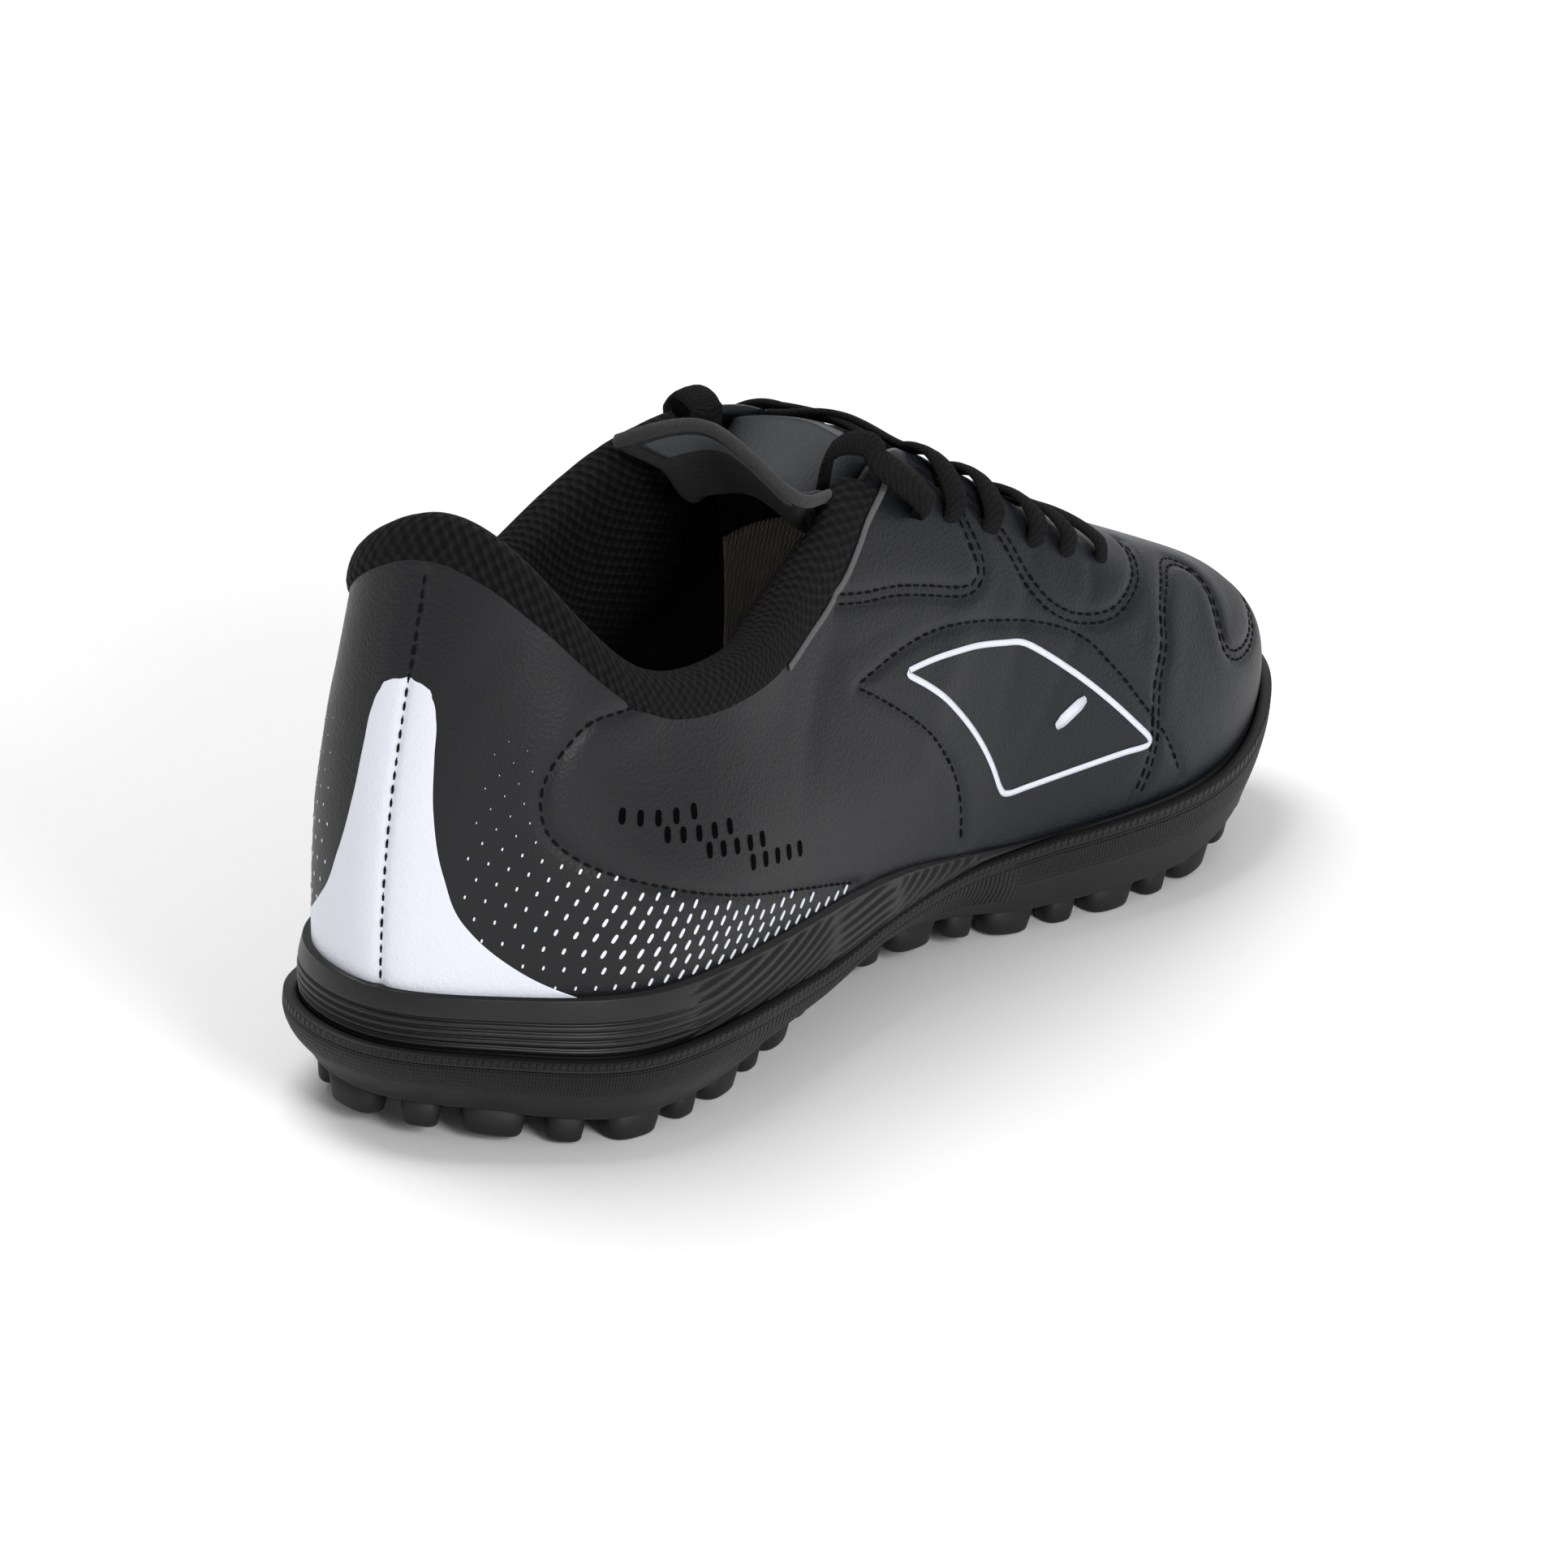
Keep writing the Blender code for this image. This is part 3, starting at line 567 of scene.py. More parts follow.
def ink_finish(name, colour):
    """Printed ink that follows the leather's grain."""
    finish = Finish(name, 0.42)
    where = finish.place()
    cloud = finish.noise(where, 30, 3)
    finish.colour(finish.mix(cloud * 0.5, [c * 0.93 for c in colour], colour))
    finish.rough(0.38 + cloud * 0.12)
    pebble = finish.cells(where, PEBBLE_SCALE)
    pores = finish.noise(where, PORE_SCALE, 2)
    finish.bump((pebble, 0.00006), (pores, 0.00003))
    return finish.material


def thread_finish(name, colour):
    """Dull sewing thread with a fuzz."""
    finish = Finish(name, 0.85, Specular_IOR_Level=0.1)
    where = finish.place()
    fuzz = finish.noise(where, 4000, 3)
    finish.colour(finish.mix(fuzz, [c * 0.5 for c in colour], [c * 1.2 for c in colour]))
    finish.bump((fuzz, 0.00012))
    return finish.material


def knit_finish(name, dark, light):
    """Ribbed mesh knit: rows of small loops, staggered."""
    finish = Finish(name, 0.85, Specular_IOR_Level=0.15)
    where = finish.pattern()
    across, along = finish.split(where)[:2]
    pitch = 2 * math.pi / KNIT_CELL
    slant = (across + along) * pitch * 0.7
    rise = (across - along) * pitch * 0.7
    height = slant.sine() * 0.55 + rise.sine() * 0.45 + (along * pitch * 0.5).sine() * 0.2
    fibre = finish.noise(finish.place(), 5000, 3)
    finish.colour(finish.mix(height.between(-0.7, 0.9) * 0.8 + fibre * 0.2, dark, light))
    finish.rough(0.75 + fibre * 0.2)
    finish.bump((height, 0.00045), (fibre, 0.00012))
    return finish.material


def felt_finish(name, dark, light):
    """Matt felt or cut edge, with loose fibres."""
    finish = Finish(name, 0.95, Specular_IOR_Level=0.15, Sheen_Weight=0.1)
    where = finish.place()
    fibre = finish.noise(where, FELT_GRAIN * 3, 4, 0.7)
    cloud = finish.noise(where, 90, 3)
    finish.colour(finish.mix(fibre * 0.7 + cloud * 0.3, dark, light))
    finish.bump((fibre, 0.0003), (finish.noise(where, FELT_GRAIN, 2), 0.0002))
    return finish.material


def weave_finish(name, dark, light):
    """Flat woven lace: a herringbone of thick yarns with a fuzz."""
    finish = Finish(name, 0.95, Specular_IOR_Level=0.15)
    across, along = finish.split(finish.pattern())[:2]
    slant = (across - 3).size() * 3.2
    yarn = ((along * 5.2 + slant).sine() * 0.5 + 0.5) * ((across * 6.3).sine() * 0.3 + 0.7)
    fuzz = finish.noise(finish.place(), 2600, 4, 0.7)
    finish.colour(finish.mix(yarn * 0.55 + fuzz.between(0.35, 0.75) * 0.5, dark, light))
    finish.bump((yarn, 0.00035), (fuzz, 0.0003))
    return finish.material


def rubber_finish(name, colour, roughness=0.5):
    """Moulded rubber with a slight bloom."""
    finish = Finish(name, roughness, Specular_IOR_Level=0.4)
    where = finish.place()
    cloud = finish.noise(where, 40, 4)
    dust = finish.noise(where, 700, 3, 0.6)
    bloom = dust.between(0.5, 0.85) * 0.5 + cloud * 0.2
    finish.colour(finish.mix(bloom, colour, [c * 2.2 for c in colour]))
    finish.rough(roughness - 0.08 + cloud * 0.16 + dust * 0.08)
    finish.bump((dust, 0.00005), (cloud, 0.0001))
    return finish


def cup_finish(name, colour):
    """Rubber with a cross-hatched wall, ribs at the waist and a toothed line under the rim.

    around is in millimetres round the cup, and row counts its rings from the tread up.
    """
    finish = rubber_finish(name, colour, 0.56)
    around, row = finish.split(finish.pattern())[:2]
    from_toe = (around - SOLE_LAP / MM / 2).size()
    waist = from_toe.between(108, 120) * (1 - from_toe.between(196, 214))
    hatch = (around * 3.9 + row * 1.5).sine() * (around * 3.9 - row * 1.5).sine()
    hatch = hatch * row.between(13, 18) * (1 - row.between(26.5, 27.5))
    ribs = (around * 4.6 + row * 0.35).sine() * row.between(7, 9) * (1 - row.between(25, 26))
    teeth = (around * 3.4).sine() * row.between(27.5, 28.5) * (1 - row.between(30, 31))
    relief_wire = hatch * (1 - waist) + ribs * waist * 1.2 + teeth
    line = row.between(24.8, 25.6) * (1 - row.between(26.4, 27.2))
    finish.bump((relief_wire, 0.00042), (line * -1, 0.0006))
    return finish


def cloth_finish(name, dark, light):
    """Pale brushed cloth."""
    finish = Finish(name, 0.95, Sheen_Weight=0.2)
    where = finish.place()
    across, along = finish.split(where)[:2]
    yarn = (across * 4500).sine() * (along * 4500).sine()
    cloud = finish.noise(where, 45, 4)
    finish.colour(finish.mix(yarn * 0.15 + cloud.between(0.3, 0.7) * 0.85, dark, light))
    finish.bump((yarn, 0.0002), (cloud, 0.0004))
    return finish.material


# Shapes

def finished(mesh, name):
    """Mesh data made from the bmesh, which is freed."""
    data = bpy.data.meshes.new(name)
    mesh.to_mesh(data)
    mesh.free()
    return data


def squared(spot, power):
    """A spot of a circle moved out onto a rounded square."""
    size = math.hypot(spot.x, spot.y)
    stretch = (abs(spot.x / size) ** power + abs(spot.y / size) ** power) ** (-1 / power)
    return spot.x * stretch, spot.y * stretch


def spread(width, height):
    """Pattern coordinates that grow evenly over a piece of this width and height."""
    def pattern(across, along, layer):
        return np.stack([across * width, along * height], -1)
    return pattern


def sheet_body(name, columns, rows, place, pattern, thick=False):
    """Object on a grid. place and pattern take across, along and layer as arrays from 0 to 1 and
    give each vertex's point and its pattern coordinates in metres."""
    mesh = bmesh.new()
    mesh.loops.layers.uv.new("pattern")
    bmesh.ops.create_grid(mesh, x_segments=columns, y_segments=rows, size=0.5)
    if thick:
        grown = bmesh.ops.extrude_face_region(mesh, geom=mesh.faces[:])
        for item in grown["geom"]:
            if isinstance(item, bmesh.types.BMVert):
                item.co.z = 1
    data = finished(mesh, name)
    spots = np.empty(3 * len(data.vertices), np.float32)
    data.vertices.foreach_get("co", spots)
    spots = spots.reshape(-1, 3).astype(float)
    across, along, layer = spots[:, 0] + 0.5, spots[:, 1] + 0.5, spots[:, 2]
    points = world(place(across, along, layer))
    data.vertices.foreach_set("co", points.astype(np.float32).ravel())
    corners = np.empty(len(data.loops), np.int32)
    data.loops.foreach_get("vertex_index", corners)
    flat = np.asarray(pattern(across, along, layer), float) / MM
    data.uv_layers["pattern"].data.foreach_set("uv", flat[corners].astype(np.float32).ravel())
    mesh = bmesh.new()
    mesh.from_mesh(data)
    bmesh.ops.remove_doubles(mesh, verts=mesh.verts, dist=2e-6)
    bmesh.ops.dissolve_degenerate(mesh, edges=mesh.edges, dist=1e-7)
    bmesh.ops.recalc_face_normals(mesh, faces=mesh.faces)
    if mesh.calc_volume(signed=True) < 0:
        bmesh.ops.reverse_faces(mesh, faces=mesh.faces)
    mesh.to_mesh(data)
    mesh.free()
    return data


def stand(name, data, materials, nodes=(), smooth=True):
    """Makes the piece, gives it its materials and says which CAD nodes it stands for."""
    for material in materials:
        data.materials.append(material)
    piece = bpy.data.objects.new(name, data)
    bpy.context.scene.collection.objects.link(piece)
    if smooth:
        data.shade_smooth()
    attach(piece, "root")
    if nodes:
        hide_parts(*nodes)
    return piece


def ring_profile(name, sections, pattern):
    """Body through closed sections, given as an array of sections by points."""
    sections = np.asarray(sections)
    count, size = sections.shape[:2]

    def place(across, along, layer):
        column = np.rint(across * size).astype(int) % size
        row = np.rint(along * (count - 1)).astype(int)
        return sections[row, column]

    return sheet_body(name, size, count - 1, place, pattern)


def tube_sections(points, aside, upward, wide, high):
    """Sections across a line, closed by a point at each end."""
    sections = (
        points[:, None]
        + aside[:, None] * wide[None, :, None]
        + upward[:, None] * high[None, :, None]
    )
    caps = np.repeat(points[[0, -1]][:, None], len(wide), axis=1)
    return np.concatenate([caps[:1], sections, caps[1:]])


# Seams. Each is a row of places on the upper, given as around and up.

def route(spots):
    return np.array(spots, float)


QUARTER_SEAM = route((
    (0.109, 0.968), (0.082, 0.844), (0.069, 0.728), (0.061, 0.608), (0.060, 0.508),
    (0.065, 0.436), (0.079, 0.392), (0.109, 0.360), (0.132, 0.304), (0.165, 0.192),
    (0.195, 0.100), (0.227, 0.015),
))
EYESTAY_SEAM = route((
    (0.276, 0.880), (0.285, 0.800), (0.294, 0.740), (0.305, 0.660), (0.314, 0.608),
    (0.322, 0.590), (0.330, 0.605), (0.336, 0.640), (0.345, 0.730), (0.357, 0.828),
    (0.367, 0.960),
))
LOWER_SEAM = route((
    (0.358, 0.830), (0.352, 0.668), (0.347, 0.564), (0.348, 0.470), (0.359, 0.412),
    (0.378, 0.412), (0.405, 0.500), (0.433, 0.620), (0.446, 0.690),
))
TOE_SEAM = route((
    (0.372, 0.010), (0.378, 0.092), (0.384, 0.228), (0.396, 0.330), (0.408, 0.420), (0.424, 0.490),
    (0.440, 0.544), (0.449, 0.545), (0.452, 0.500), (0.445, 0.428), (0.432, 0.336),
    (0.427, 0.262), (0.434, 0.215), (0.452, 0.205), (0.470, 0.250), (0.479, 0.320),
    (0.489, 0.390), (0.500, 0.408),
))
PANEL_REAR = route((
    (0.262, 0.640), (0.270, 0.480), (0.278, 0.330), (0.284, 0.180), (0.287, 0.020),
))
PANEL_FRONT = route((
    (0.262, 0.640), (0.290, 0.600), (0.322, 0.505), (0.354, 0.400), (0.366, 0.300),
    (0.374, 0.215), (0.384, 0.120), (0.392, 0.020),
))


def mirrored(seam):
    return np.stack([1 - seam[:, 0], seam[:, 1]], -1)


def dense(seam, step=0.0005):
    """Places along a smooth line through the seam's spots, a step apart in metres."""
    knots = np.linspace(0, 1, len(seam))
    fine = np.linspace(0, 1, 60 * len(seam))
    places = np.stack([line_spline(knots, seam[:, axis], fine) for axis in range(2)], -1)
    points = column_point(places[:, 0], places[:, 1])
    walked = walk(points)
    marks = np.arange(0, walked[-1], step)
    return np.stack([np.interp(marks, walked, places[:, axis]) for axis in range(2)], -1)


def shifted(seam, offset):
    """The seam moved sideways on the upper by a length in metres, to its left going along."""
    places = dense(seam)
    points = column_point(places[:, 0], places[:, 1])
    ahead = np.gradient(points, axis=0)
    normal = column_frame(places[:, 0], places[:, 1])[0]
    aside = unit(np.cross(normal, ahead))
    step = 1e-3
    around_step = column_point(places[:, 0] + step, places[:, 1]) - points
    up_step = column_point(places[:, 0], places[:, 1] + step) - points
    level = unit(around_step)
    climb = up_step - level * (up_step * level).sum(-1, keepdims=True)
    up_size = np.linalg.norm(climb, axis=-1)
    rise = (aside * unit(climb)).sum(-1) * offset / up_size
    slide = (aside * level).sum(-1) * offset
    slide = slide - rise * (up_step * level).sum(-1)
    turn = slide / np.linalg.norm(around_step, axis=-1)
    return places + np.stack([turn, rise], -1) * step


# Seams of one side, and how far aside each of a seam's rows of stitches lies
ROW_GAP = 1.6 * MM
MEDIAL_SEAMS = (
    (QUARTER_SEAM, (0,)),
    (EYESTAY_SEAM, (0, ROW_GAP)),
    (LOWER_SEAM, (0, ROW_GAP)),
    (TOE_SEAM, (0, ROW_GAP)),
    (PANEL_REAR, (0,)),
    (PANEL_FRONT, (0,)),
)
HEEL_SEAM = route(((0.0, -0.01), (0.0, 0.5), (0.0, 0.95)))


def seam_rows():
    """Every stitched line of both sides, as dense places."""
    rows = []
    for seam, offsets in MEDIAL_SEAMS:
        for offset in offsets:
            rows.append(shifted(seam, offset))
            rows.append(shifted(mirrored(seam), -offset))
    rows.append(dense(HEEL_SEAM))
    return rows


SEAM_ROWS = seam_rows()
SEAM_POINTS = [column_point(row[:, 0], row[:, 1])[::2] for row in SEAM_ROWS]

# Trough that a row of stitches pulls into the leather, the puff beside it, and how far from a row
# and for how many points at once the nearest stitch is looked for
TROUGH_WIDTH = 0.9 * MM
TROUGH_DEPTH = 0.45 * MM
PUFF_WIDTH = 3.0 * MM
PUFF_HEIGHT = 0.16 * MM
SEAM_REACH = 12 * MM
POINTS_AT_ONCE = 4000

# Soft creases: where on the upper, how long and wide, how deep, and their slant in degrees
CREASES = table("around up length width depth slant", (
    (0.250, 0.760, 0.015, 0.0040, -0.00030, 20),
    (0.300, 0.500, 0.020, 0.0050, 0.00030, 30),
    (0.340, 0.500, 0.012, 0.0030, -0.00025, 60),
    (0.400, 0.620, 0.010, 0.0030, -0.00020, 40),
    (0.035, 0.850, 0.012, 0.0035, -0.00020, 85),
    (0.700, 0.500, 0.020, 0.0050, 0.00030, 30),
    (0.600, 0.600, 0.012, 0.0030, -0.00020, 50),
))


def relief(around, up):
    """How far the leather stands off the plain last shape: stitch troughs, puffs and creases."""
    around, up = np.broadcast_arrays(np.asarray(around, float), np.asarray(up, float))
    points = column_point(around, up)
    flat = points.reshape(-1, 3)
    nearest = np.full(len(flat), 1.0)
    for row in SEAM_POINTS:
        low, high = row.min(0) - SEAM_REACH, row.max(0) + SEAM_REACH
        inside = np.flatnonzero(((flat > low) & (flat < high)).all(1))
        for part in np.array_split(inside, max(1, len(inside) // POINTS_AT_ONCE)):
            if len(part):
                gaps = ((flat[part, None] - row[None]) ** 2).sum(-1).min(1)
                nearest[part] = np.minimum(nearest[part], np.sqrt(gaps))
    result = -TROUGH_DEPTH * np.exp(-(nearest / TROUGH_WIDTH) ** 2)
    result += PUFF_HEIGHT * np.exp(-((nearest - 1.2 * PUFF_WIDTH) / PUFF_WIDTH) ** 2)
    for index in range(len(CREASES["around"])):
        one = {name: CREASES[name][index] for name in CREASES}
        spot = column_point(one["around"], one["up"])
        level = unit(column_point(one["around"] + 1e-3, one["up"]) - spot)
        climb = column_frame(one["around"], one["up"])[1]
        turn = math.radians(one["slant"])
        line = level * math.cos(turn) + climb * math.sin(turn)
        side = climb * math.cos(turn) - level * math.sin(turn)
        away = flat - spot
        share = (away @ line / one["length"]) ** 2 + (away @ side / one["width"]) ** 2
        result += one["depth"] * np.exp(-share)
    return result.reshape(points.shape[:-1])


def on_upper(around, up, outward):
    return upper_point(around, up, relief(around, up) + outward)


# Leather shell of the upper
SHELL_COLUMNS = 800
SHELL_ROWS = 92
EDGE_ROWS = 4
INNER_ROWS = 12


def shell_ladder():
    """Rows round the shell's section: up, outward share of the wall and whether relief applies."""
    rows = [(-0.02, -0.25, 1.0)]
    rows += [(share, 0.0, 1.0) for share in np.linspace(0, 1, SHELL_ROWS)]
    for step in range(1, EDGE_ROWS):
        turn = math.pi * step / EDGE_ROWS
        rows.append((1.0 + 0.006 * math.sin(turn), -0.5 + 0.5 * math.cos(turn), 0.5))
    rows += [(share, -1.0, 0.0) for share in np.linspace(1, 0, INNER_ROWS)]
    rows.append(rows[0])
    return np.array(rows)


def shell_data():
    """Upper with its troughs and creases outside, a rounded top edge and a plain inner face."""
    ladder = shell_ladder()
    around = np.arange(SHELL_COLUMNS) / SHELL_COLUMNS
    points = np.empty((len(ladder), SHELL_COLUMNS, 3))
    for row, (up, wall, share) in enumerate(ladder):
        lift = relief(around, np.full_like(around, min(max(up, 0), 1))) * share if share else 0
        points[row] = upper_point(around, np.full_like(around, up), lift + wall * UPPER_WALL)
    return ring_profile("upper", points, spread(0.6, 0.1))


# Stitches
STITCH_PITCH = 2.3 * MM
STITCH_LENGTH = 1.9 * MM
STITCH_WIDTH = 0.55 * MM
STITCH_LIFT = 0.1 * MM


def stitches_data(rows):
    """One mesh of short rounded threads laid along rows of places on the upper."""
    mesh = bmesh.new()
    mesh.loops.layers.uv.new("pattern")
    for places in rows:
        walked = walk(column_point(places[:, 0], places[:, 1]))
        marks = np.arange(STITCH_PITCH, walked[-1] - STITCH_PITCH / 2, STITCH_PITCH)
        if not len(marks):
            continue
        around, up = (np.interp(marks, walked, places[:, axis]) for axis in range(2))
        centres = world(on_upper(around, up, STITCH_LIFT))
        further = marks + STITCH_LENGTH / 2
        ahead = (np.interp(further, walked, places[:, axis]) for axis in range(2))
        tips = world(column_point(*ahead))
        bases = world(column_point(around, up))
        normals = column_frame(around, up)[0]
        for centre, tip, base, normal in zip(centres, tips, bases, normals):
            line = unit(tip - base)
            side = np.cross(normal, line)
            made = bmesh.ops.create_icosphere(mesh, subdivisions=1, radius=1)["verts"]
            turned = Matrix((
                line * STITCH_LENGTH / 2, side * STITCH_WIDTH / 2, normal * STITCH_WIDTH / 2,
            )).transposed()
            for vertex in made:
                vertex.co = turned @ vertex.co + Vector(centre)
    return finished(mesh, "stitches")


# Prints
INK_DEPTH = 0.12 * MM
MARK_SQUARE = 3.5

# White heel panel: half its width, as a share of a lap, at each height
WHITE_PANEL = table("up half", (
    (-0.010, 0.0840), (0.036, 0.0630), (0.076, 0.0500), (0.148, 0.0345), (0.256, 0.0252),
    (0.412, 0.0187), (0.552, 0.0163), (0.640, 0.0148), (0.685, 0.0120), (0.712, 0.0070),
    (0.720, 0.0006),
))


def white_panel_data():
    """Thin plate of ink over the heel seam."""
    bottom, top = WHITE_PANEL["up"][[0, -1]]

    def place(across, along, layer):
        up = bottom + (top - bottom) * along
        half = line_spline(WHITE_PANEL["up"], WHITE_PANEL["half"], up)
        return on_upper((across * 2 - 1) * half, up, (0.4 + layer * 0.6) * INK_DEPTH)

    return sheet_body("heel_panel", 90, 90, place, spread(0.03, 0.06), thick=True)


def marks_data(name, marks, outward):
    """One mesh of small slanted oblongs on the upper: around, up, length, width and slant."""
    mesh = bmesh.new()
    mesh.loops.layers.uv.new("pattern")
    marks = np.array(marks, float)
    around, up = marks[:, 0], marks[:, 1]
    normal, climb = column_frame(around, up)
    level = unit(np.cross(climb, normal))
    points = world(on_upper(around, up, outward))
    for index in range(len(marks)):
        length, width, slant = marks[index, 2:]
        line = climb[index] * math.cos(slant) + level[index] * math.sin(slant)
        side = np.cross(normal[index], line)
        made = bmesh.ops.create_cone(
            mesh, cap_ends=True, segments=12, radius1=0.5, radius2=0.5, depth=1,
        )["verts"]
        for vertex in made:
            a, b = squared(vertex.co, MARK_SQUARE)
            spot = points[index] + line * a * length + side * b * width
            vertex.co = spot + normal[index] * (vertex.co.z * INK_DEPTH)
    bmesh.ops.recalc_face_normals(mesh, faces=mesh.faces)
    return finished(mesh, name)


# Fading field of printed dashes beside the heel
DASH_ROW = 2.95 * MM
DASH_PITCH = 3.35 * MM
DASH_LENGTH = 1.5 * MM
DASH_WIDTH = 0.74 * MM
DASH_REACH = 0.70


def dash_field(side):
    """Dashes below and behind the quarter seam. They grow towards the bottom front."""
    seam_around, seam_up = QUARTER_SEAM[:1:-1].T
    marks = []
    height = float(opening(0.06)[2] - feather(0.06)[2])
    rows = int(DASH_REACH * height / DASH_ROW)
    for row in range(rows):
        up = 0.02 + row * DASH_ROW / height * 1.05
        last = float(np.interp(up, seam_up, seam_around)) - 0.006
        first = float(line_spline(WHITE_PANEL["up"], WHITE_PANEL["half"], up)) + 0.0015
        first = max(first, 0.034 + 0.02 * max(0.0, up - 0.3))
        fine = np.linspace(first, last, 200)
        points = column_point(fine, np.full_like(fine, up))
        walked = walk(points)
        offset = (0.5 if row % 2 else 0.0) * DASH_PITCH
        for mark in np.arange(offset, walked[-1], DASH_PITCH):
            around = float(np.interp(mark, walked, fine))
            fade = 1 - smooth_step((up - 0.05) / 0.75)
            ahead = smooth_step((around - first) / 0.07)
            size = (0.25 + 0.75 * float(fade)) * (0.45 + 0.55 * float(ahead))
            if up > 0.40:
                size *= 0.75
            length = DASH_LENGTH * size * (1 + 0.2 * float(ahead))
            slant = side * math.radians(10 + 22 * float(ahead))
            marks.append((sided(around, side), up, length, DASH_WIDTH * size, slant))
    return marks


# Rows of pressed slots on the quarter: first slot, last slot. Each slot is a flat matt black mark,
# painted shade of the slot's hollow, which is not cut.
SLOT_ROWS = (
    ((0.096, 0.590), (0.134, 0.622)),
    ((0.119, 0.545), (0.151, 0.524)),
    ((0.139, 0.458), (0.167, 0.412)),
    ((0.160, 0.342), (0.188, 0.282)),
)
SLOTS_IN_ROW = 5
SLOT_LENGTH = 2.7 * MM
SLOT_WIDTH = 1.35 * MM
SLOT_SLANT = math.radians(6)


def slot_marks(side):
    marks = []
    for first, last in SLOT_ROWS:
        for step in range(SLOTS_IN_ROW):
            share = step / (SLOTS_IN_ROW - 1)
            around = first[0] + (last[0] - first[0]) * share
            up = first[1] + (last[1] - first[1]) * share
            marks.append((sided(around, side), up, SLOT_LENGTH, SLOT_WIDTH, side * SLOT_SLANT))
    return marks


# Plain outline and bar printed on the side panel. Corners are places on the upper.
OUTLINE_CORNERS = route((
    (0.279, 0.560), (0.330, 0.425), (0.377, 0.120), (0.306, 0.110), (0.279, 0.560),
))
BAR_MARK = (0.341, 0.235, 8.0 * MM, 2.6 * MM)
BAR_SLANT = math.radians(80)
OUTLINE_WIDTH = 1.1 * MM


def outline_route(corners, steps=8):
    """Straight sides between the corners, each corner a little rounded."""
    spots = []
    for first, last in zip(corners[:-1], corners[1:]):
        for step in range(steps):
            share = 0.04 + 0.92 * step / (steps - 1)
            spots.append(first + (last - first) * share)
    spots.append(spots[0])
    return np.array(spots)


# Raw cut edge of the leather below the collar's front corner
RAW_EDGE = route((
    (0.236, 0.902), (0.250, 0.902), (0.280, 0.905), (0.300, 0.926), (0.311, 0.940),
    (0.330, 0.946), (0.341, 0.962),
))
RAW_WIDTH = 1.3 * MM
RAW_DEPTH = 0.35 * MM


def ribbon_data(name, spots, width, side, closed=True, depth=INK_DEPTH):
    """Printed line of the given width through places on the upper."""
    spots = mirrored(spots) if side < 0 else spots
    places = dense(spots, 0.4 * MM)
    points = column_point(places[:, 0], places[:, 1])
    normal = column_frame(places[:, 0], places[:, 1])[0]
    aside = unit(np.cross(normal, np.gradient(points, axis=0)))
    lift = relief(places[:, 0], places[:, 1])
    count = len(places) - 1
    if closed:
        aside[0] = aside[-1] = unit(aside[0] + aside[-1])

    def place(across, along, layer):
        row = np.rint(along * count).astype(int)
        high = (lift[row] + (0.4 + layer * 0.6) * depth)[:, None]
        return points[row] + aside[row] * ((across - 0.5) * width)[:, None] + normal[row] * high

    return sheet_body(name, 2, count, place, spread(0.001, 0.1), thick=True)


# Lace: share of a bar that climbs to the throat's edge, how far over the throat it goes, its rise
# in the middle, how far the upper bar clears the lower one, and points round its section
LACE_CLIMB = 0.5
LACE_REACH = 0.90
LACE_CROWN = 1.2 * MM
CROSSING_LIFT = 1.3 * MM
LACE_RING = 16
THROAT_FACING = unit(np.array([0.5, 0, 0.85]))


def lace_centre(first, last, lateral, lift):
    """Centre line of a bar: out of its eyelet, over the throat's edge, to below the far edge."""
    side = -1 if lateral else 1
    throat = LACING["throat"]
    near = 0.75 * throat[first] + 0.25 * throat[last]
    far = 0.25 * throat[first] + 0.75 * throat[last]
    clear = 1.0 * MM + LACE_THICKNESS / 2
    edge = upper_point(sided(near, side), 1.0, clear, clear)
    other = upper_point(sided(far, -side), 1.0)
    target = edge + (other - edge) * LACE_REACH - THROAT_FACING * clear * 0.2

    def centre(share):
        share = np.asarray(share, float)
        climb = np.minimum(share / LACE_CLIMB, 1)
        around = LACING["around"][first] * (1 - climb) + near * climb
        up = LACING["up"][first] * (1 - climb) + climb
        rise = smooth_step(climb / 0.22)
        sink = -1.3 * MM * (1 - rise) + clear * rise
        on_side = upper_point(sided(around, side), up, sink, clear * climb ** 2)
        facing = column_frame(sided(around, side), up)[0]
        cross = np.maximum((share - LACE_CLIMB) / (1 - LACE_CLIMB), 0)[..., None]
        raised = smooth_step(2 * cross) * smooth_step(2.2 * (1 - cross)) * lift
        crown = THROAT_FACING * (np.sin(math.pi * cross) * LACE_CROWN + raised)
        turn = smooth_step((share - 0.6 * LACE_CLIMB) / (1 - 0.6 * LACE_CLIMB) * 2)[..., None]
        normal = unit(facing * (1 - turn) + THROAT_FACING * turn)
        return on_side + (target - edge) * cross + crown, normal
    return centre


def lace_data(name, centre, length, count=70):
    """Flat woven tape along a centre line, with a rounded section."""
    shares = np.linspace(0, 1, count)
    points, normals = centre(shares)
    ahead = unit(np.gradient(points, axis=0))
    aside = unit(np.cross(normals, ahead))
    normals = np.cross(ahead, aside)
    turn = np.arange(LACE_RING) / LACE_RING * 2 * math.pi
    wide = np.sign(np.cos(turn)) * np.abs(np.cos(turn)) ** 0.7 * LACE_WIDTH / 2
    high = np.sign(np.sin(turn)) * np.abs(np.sin(turn)) ** 0.8 * LACE_THICKNESS / 2
    bow = (wide / (LACE_WIDTH / 2)) ** 2 * -0.35 * MM
    sections = tube_sections(points, aside, normals, wide, high + bow)

    def pattern(across, along, layer):
        return np.stack([np.abs(across * 2 - 1) * LACE_WIDTH, along * length], -1)

    return ring_profile(name, sections, pattern)


